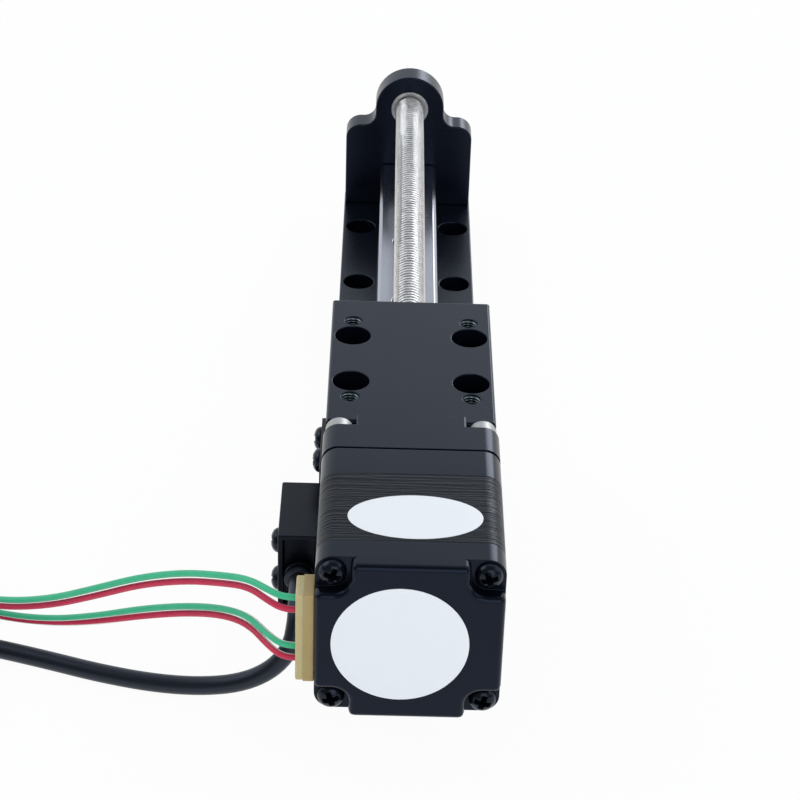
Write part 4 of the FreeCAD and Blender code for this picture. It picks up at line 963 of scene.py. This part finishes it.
def strap(middle, angle, inside, outside, low, high, broad, thick):
    """A band round a coil's section at one angle: its line is a rounded rectangle from the
    inside to the outside radius and from low to high, and its own section is a flat oval."""
    rings = 49
    columns = 12
    power = 6
    line = np.linspace(0, 2 * math.pi, rings)[:, None]
    section = np.linspace(0, 2 * math.pi, columns, endpoint=False)
    box = (np.abs(np.cos(line)) ** power + np.abs(np.sin(line)) ** power) ** (-1 / power)
    swell = thick / 2 * np.cos(section)
    across = (outside + inside) / 2 + ((outside - inside) / 2 * box + swell) * np.cos(line)
    tall = (high + low) / 2 + ((high - low) / 2 * box + swell) * np.sin(line)
    beside = broad / 2 * np.sin(section) * np.ones((rings, 1))
    turn = math.radians(angle)
    x = middle[0] + across * math.cos(turn) - beside * math.sin(turn)
    y = middle[1] + across * math.sin(turn) + beside * math.cos(turn)
    return np.stack([x, y, tall], -1)[None] * MM


tie_plastic, place = start_finish("tie_plastic")
patches = cloud(place, 1.5 * MM)
close_finish(place, {
    "Base Color": tint(place, patches, (0.012, 0.012, 0.013, 1), (0.02, 0.02, 0.021, 1)),
    "Roughness": 0.4 + 0.12 * patches,
})
lead_coil_middle = (-88.25, -44.7)
lead_diameter = 0.00105
grid = strap(
    lead_coil_middle, angle=20, inside=3.15, outside=9.16, low=0.3, high=4.58, broad=2.4, thick=0.5
)
lead_tie = skin("lead_tie", grid, tie_plastic, "base")
for label, points in LEAD_POINTS.items():
    height = points[-1][2]
    coil = spiral(
        lead_coil_middle, entry=215, way=-1, radius=8.95, pitch=-1.1, turns=4.875, height=height
    )
    path = smooth_line(np.concatenate([points, coil]))
    tube = insulation(path, lead_diameter / 2)
    piece = skin(f"{label}_wire", tube, lead_finishes[label], "base")
    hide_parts(f"{label}_lead")
# The last wire also takes the place of the coil, which is one plain ring in the CAD.
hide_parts("lead_coil")

# Sensor cable: a round black cable that falls from the boot behind the leads and runs along the
# bench. Its spare length is coiled in two layers and tied.
CABLE_POINTS = [
    (-17.6, -81.1, 17.55),
    (-17.6, -85.2, 17.55),
    (-17.6, -88.9, 15.2),
    (-18.4, -90.7, 11.2),
    (-21.2, -91.1, 7.2),
    (-26.0, -90.8, 4.0),
    (-32.5, -89.9, 2.2),
    (-40.5, -88.7, 1.6),
    (-50.0, -86.4, 1.6),
    (-60.0, -82.9, 1.6),
    (-71.0, -79.5, 1.6),
    (-82.0, -77.5, 1.6),
]
cable_coil_middle = (-92, -96.5)
cable_diameter = 0.0031
lower_layer = 1.6
upper_layer = 4.85
inward = spiral(
    cable_coil_middle, entry=90, way=1, radius=19.4, pitch=-3.2, turns=1.9375, height=lower_layer
)
climb = spiral(
    cable_coil_middle, entry=90, way=1, radius=13.1, pitch=0, turns=0.25, height=lower_layer, rise=12.9
)
outward = spiral(
    cable_coil_middle, entry=180, way=1, radius=13.2, pitch=3.2, turns=1.9, height=upper_layer
)
path = smooth_line(np.concatenate([CABLE_POINTS, inward, climb[1:], outward[1:]]))
grid = strap(
    cable_coil_middle, angle=300, inside=12.35, outside=19.45, low=0.35, high=6.75, broad=3.4, thick=0.6
)
cable_tie = skin("cable_tie", grid, tie_plastic, "base")
jacket = insulation(path, cable_diameter / 2, columns=20)
piece = skin("sensor_cable_jacket", jacket, cable_rubber, "base")
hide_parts("sensor_cable", "cable_coil")

# Studio: a white floor that keeps a faint shadow, soft light from all four sides, and the camera
# behind the motor, looking down along the screw.


def light_path(start):
    """Shares of 0 or 1: whether a ray comes from the camera, from a mirror or through glass."""
    kinds = ("Is Camera Ray", "Is Glossy Ray", "Is Transmission Ray")
    return [start.node("ShaderNodeLightPath", {}, {}, kind) for kind in kinds]


floor_white, place = start_finish("floor_white")
ray, glossy, clear = light_path(place)
matt_white = place.node("ShaderNodeBsdfDiffuse", {}, {"Color": (0.86, 0.86, 0.86, 1)})
glow = place.node("ShaderNodeEmission", {}, {"Color": (1, 1, 1, 1), "Strength": 1.0})
seen = place.maths("MAXIMUM", ray, place.maths("MAXIMUM", glossy, clear))
shader = place.node("ShaderNodeMixShader", {}, {0: seen * 0.95, 1: matt_white, 2: glow})
place.node("ShaderNodeOutputMaterial", {}, {"Surface": shader})
floor_mesh = bpy.data.meshes.new("floor")
floor_level = -0.01 * MM
reach = 3
ground = ((-reach, -reach), (reach, -reach), (reach, reach), (-reach, reach))
corners = [(x, y, floor_level) for x, y in ground]
floor_mesh.from_pydata(corners, [], [(0, 1, 2, 3)])
floor_mesh.materials.append(floor_white)
floor = bpy.data.objects.new("floor", floor_mesh)
bpy.context.scene.collection.objects.link(floor)

sky = bpy.data.worlds.new("studio")
sky.use_nodes = True
sky.node_tree.nodes.clear()
start = Wire(sky.node_tree)
ray, glossy, clear = light_path(start)
toward = start.node("ShaderNodeTexCoord", {}, {}, "Generated")
mirrored = start.node("ShaderNodeMapRange", {"interpolation_type": "SMOOTHSTEP"}, {
    "Value": toward.part("Y"),
    "From Min": -0.25,
    "From Max": 0.55,
    "To Min": 0.2,
    "To Max": 1.0,
})
AMBIENT = 0.7
plain = AMBIENT + (1 - AMBIENT) * start.maths("MAXIMUM", ray, clear)
strength = plain + glossy * (mirrored - AMBIENT)
cast = tint(start, ray, (0.9, 0.95, 1, 1), (1, 1, 1, 1))
glow = start.node("ShaderNodeBackground", {}, {"Color": cast, "Strength": strength})
start.node("ShaderNodeOutputWorld", {}, {"Surface": glow})
bpy.context.scene.world = sky


def softbox(name, place, size, power):
    """A square soft lamp at a place in metres, turned to the middle of the base plate."""
    lamp = bpy.data.lights.new(name, "AREA")
    lamp.shape = "SQUARE"
    lamp.size = size
    lamp.energy = power
    lamp.color = (0.92, 0.96, 1)
    holder = bpy.data.objects.new(name, lamp)
    bpy.context.scene.collection.objects.link(holder)
    holder.location = place
    holder.rotation_euler = (-holder.location).to_track_quat("-Z", "Y").to_euler()


softbox("left_light", (-0.9, 0.0, 0.9), size=0.8, power=3.5)
softbox("right_light", (1.0, -0.2, 0.7), size=0.8, power=1.7)
softbox("far_light", (0.5, 1.1, 0.55), size=0.5, power=3.3)
softbox("front_light", (0.3, -1.3, 0.6), size=1.0, power=5.4)

lens = bpy.data.cameras.new("camera")
lens.sensor_width = 36
lens.lens = 104.3
lens.clip_start = 0.01
camera = bpy.data.objects.new("camera", lens)
bpy.context.scene.collection.objects.link(camera)
pan = Matrix.Rotation(math.radians(-0.708), 4, "Z")
tilt = Matrix.Rotation(math.radians(-31.746), 4, "X")
roll = Matrix.Rotation(math.radians(-1.838), 4, "Y")
level = Matrix.Rotation(math.pi / 2, 4, "X")
stand = Matrix.Translation((-5.83 * MM, -386.83 * MM, 241.85 * MM))
camera.matrix_world = stand @ pan @ tilt @ roll @ level
bpy.context.scene.camera = camera
bpy.context.scene.view_settings.view_transform = "Standard"
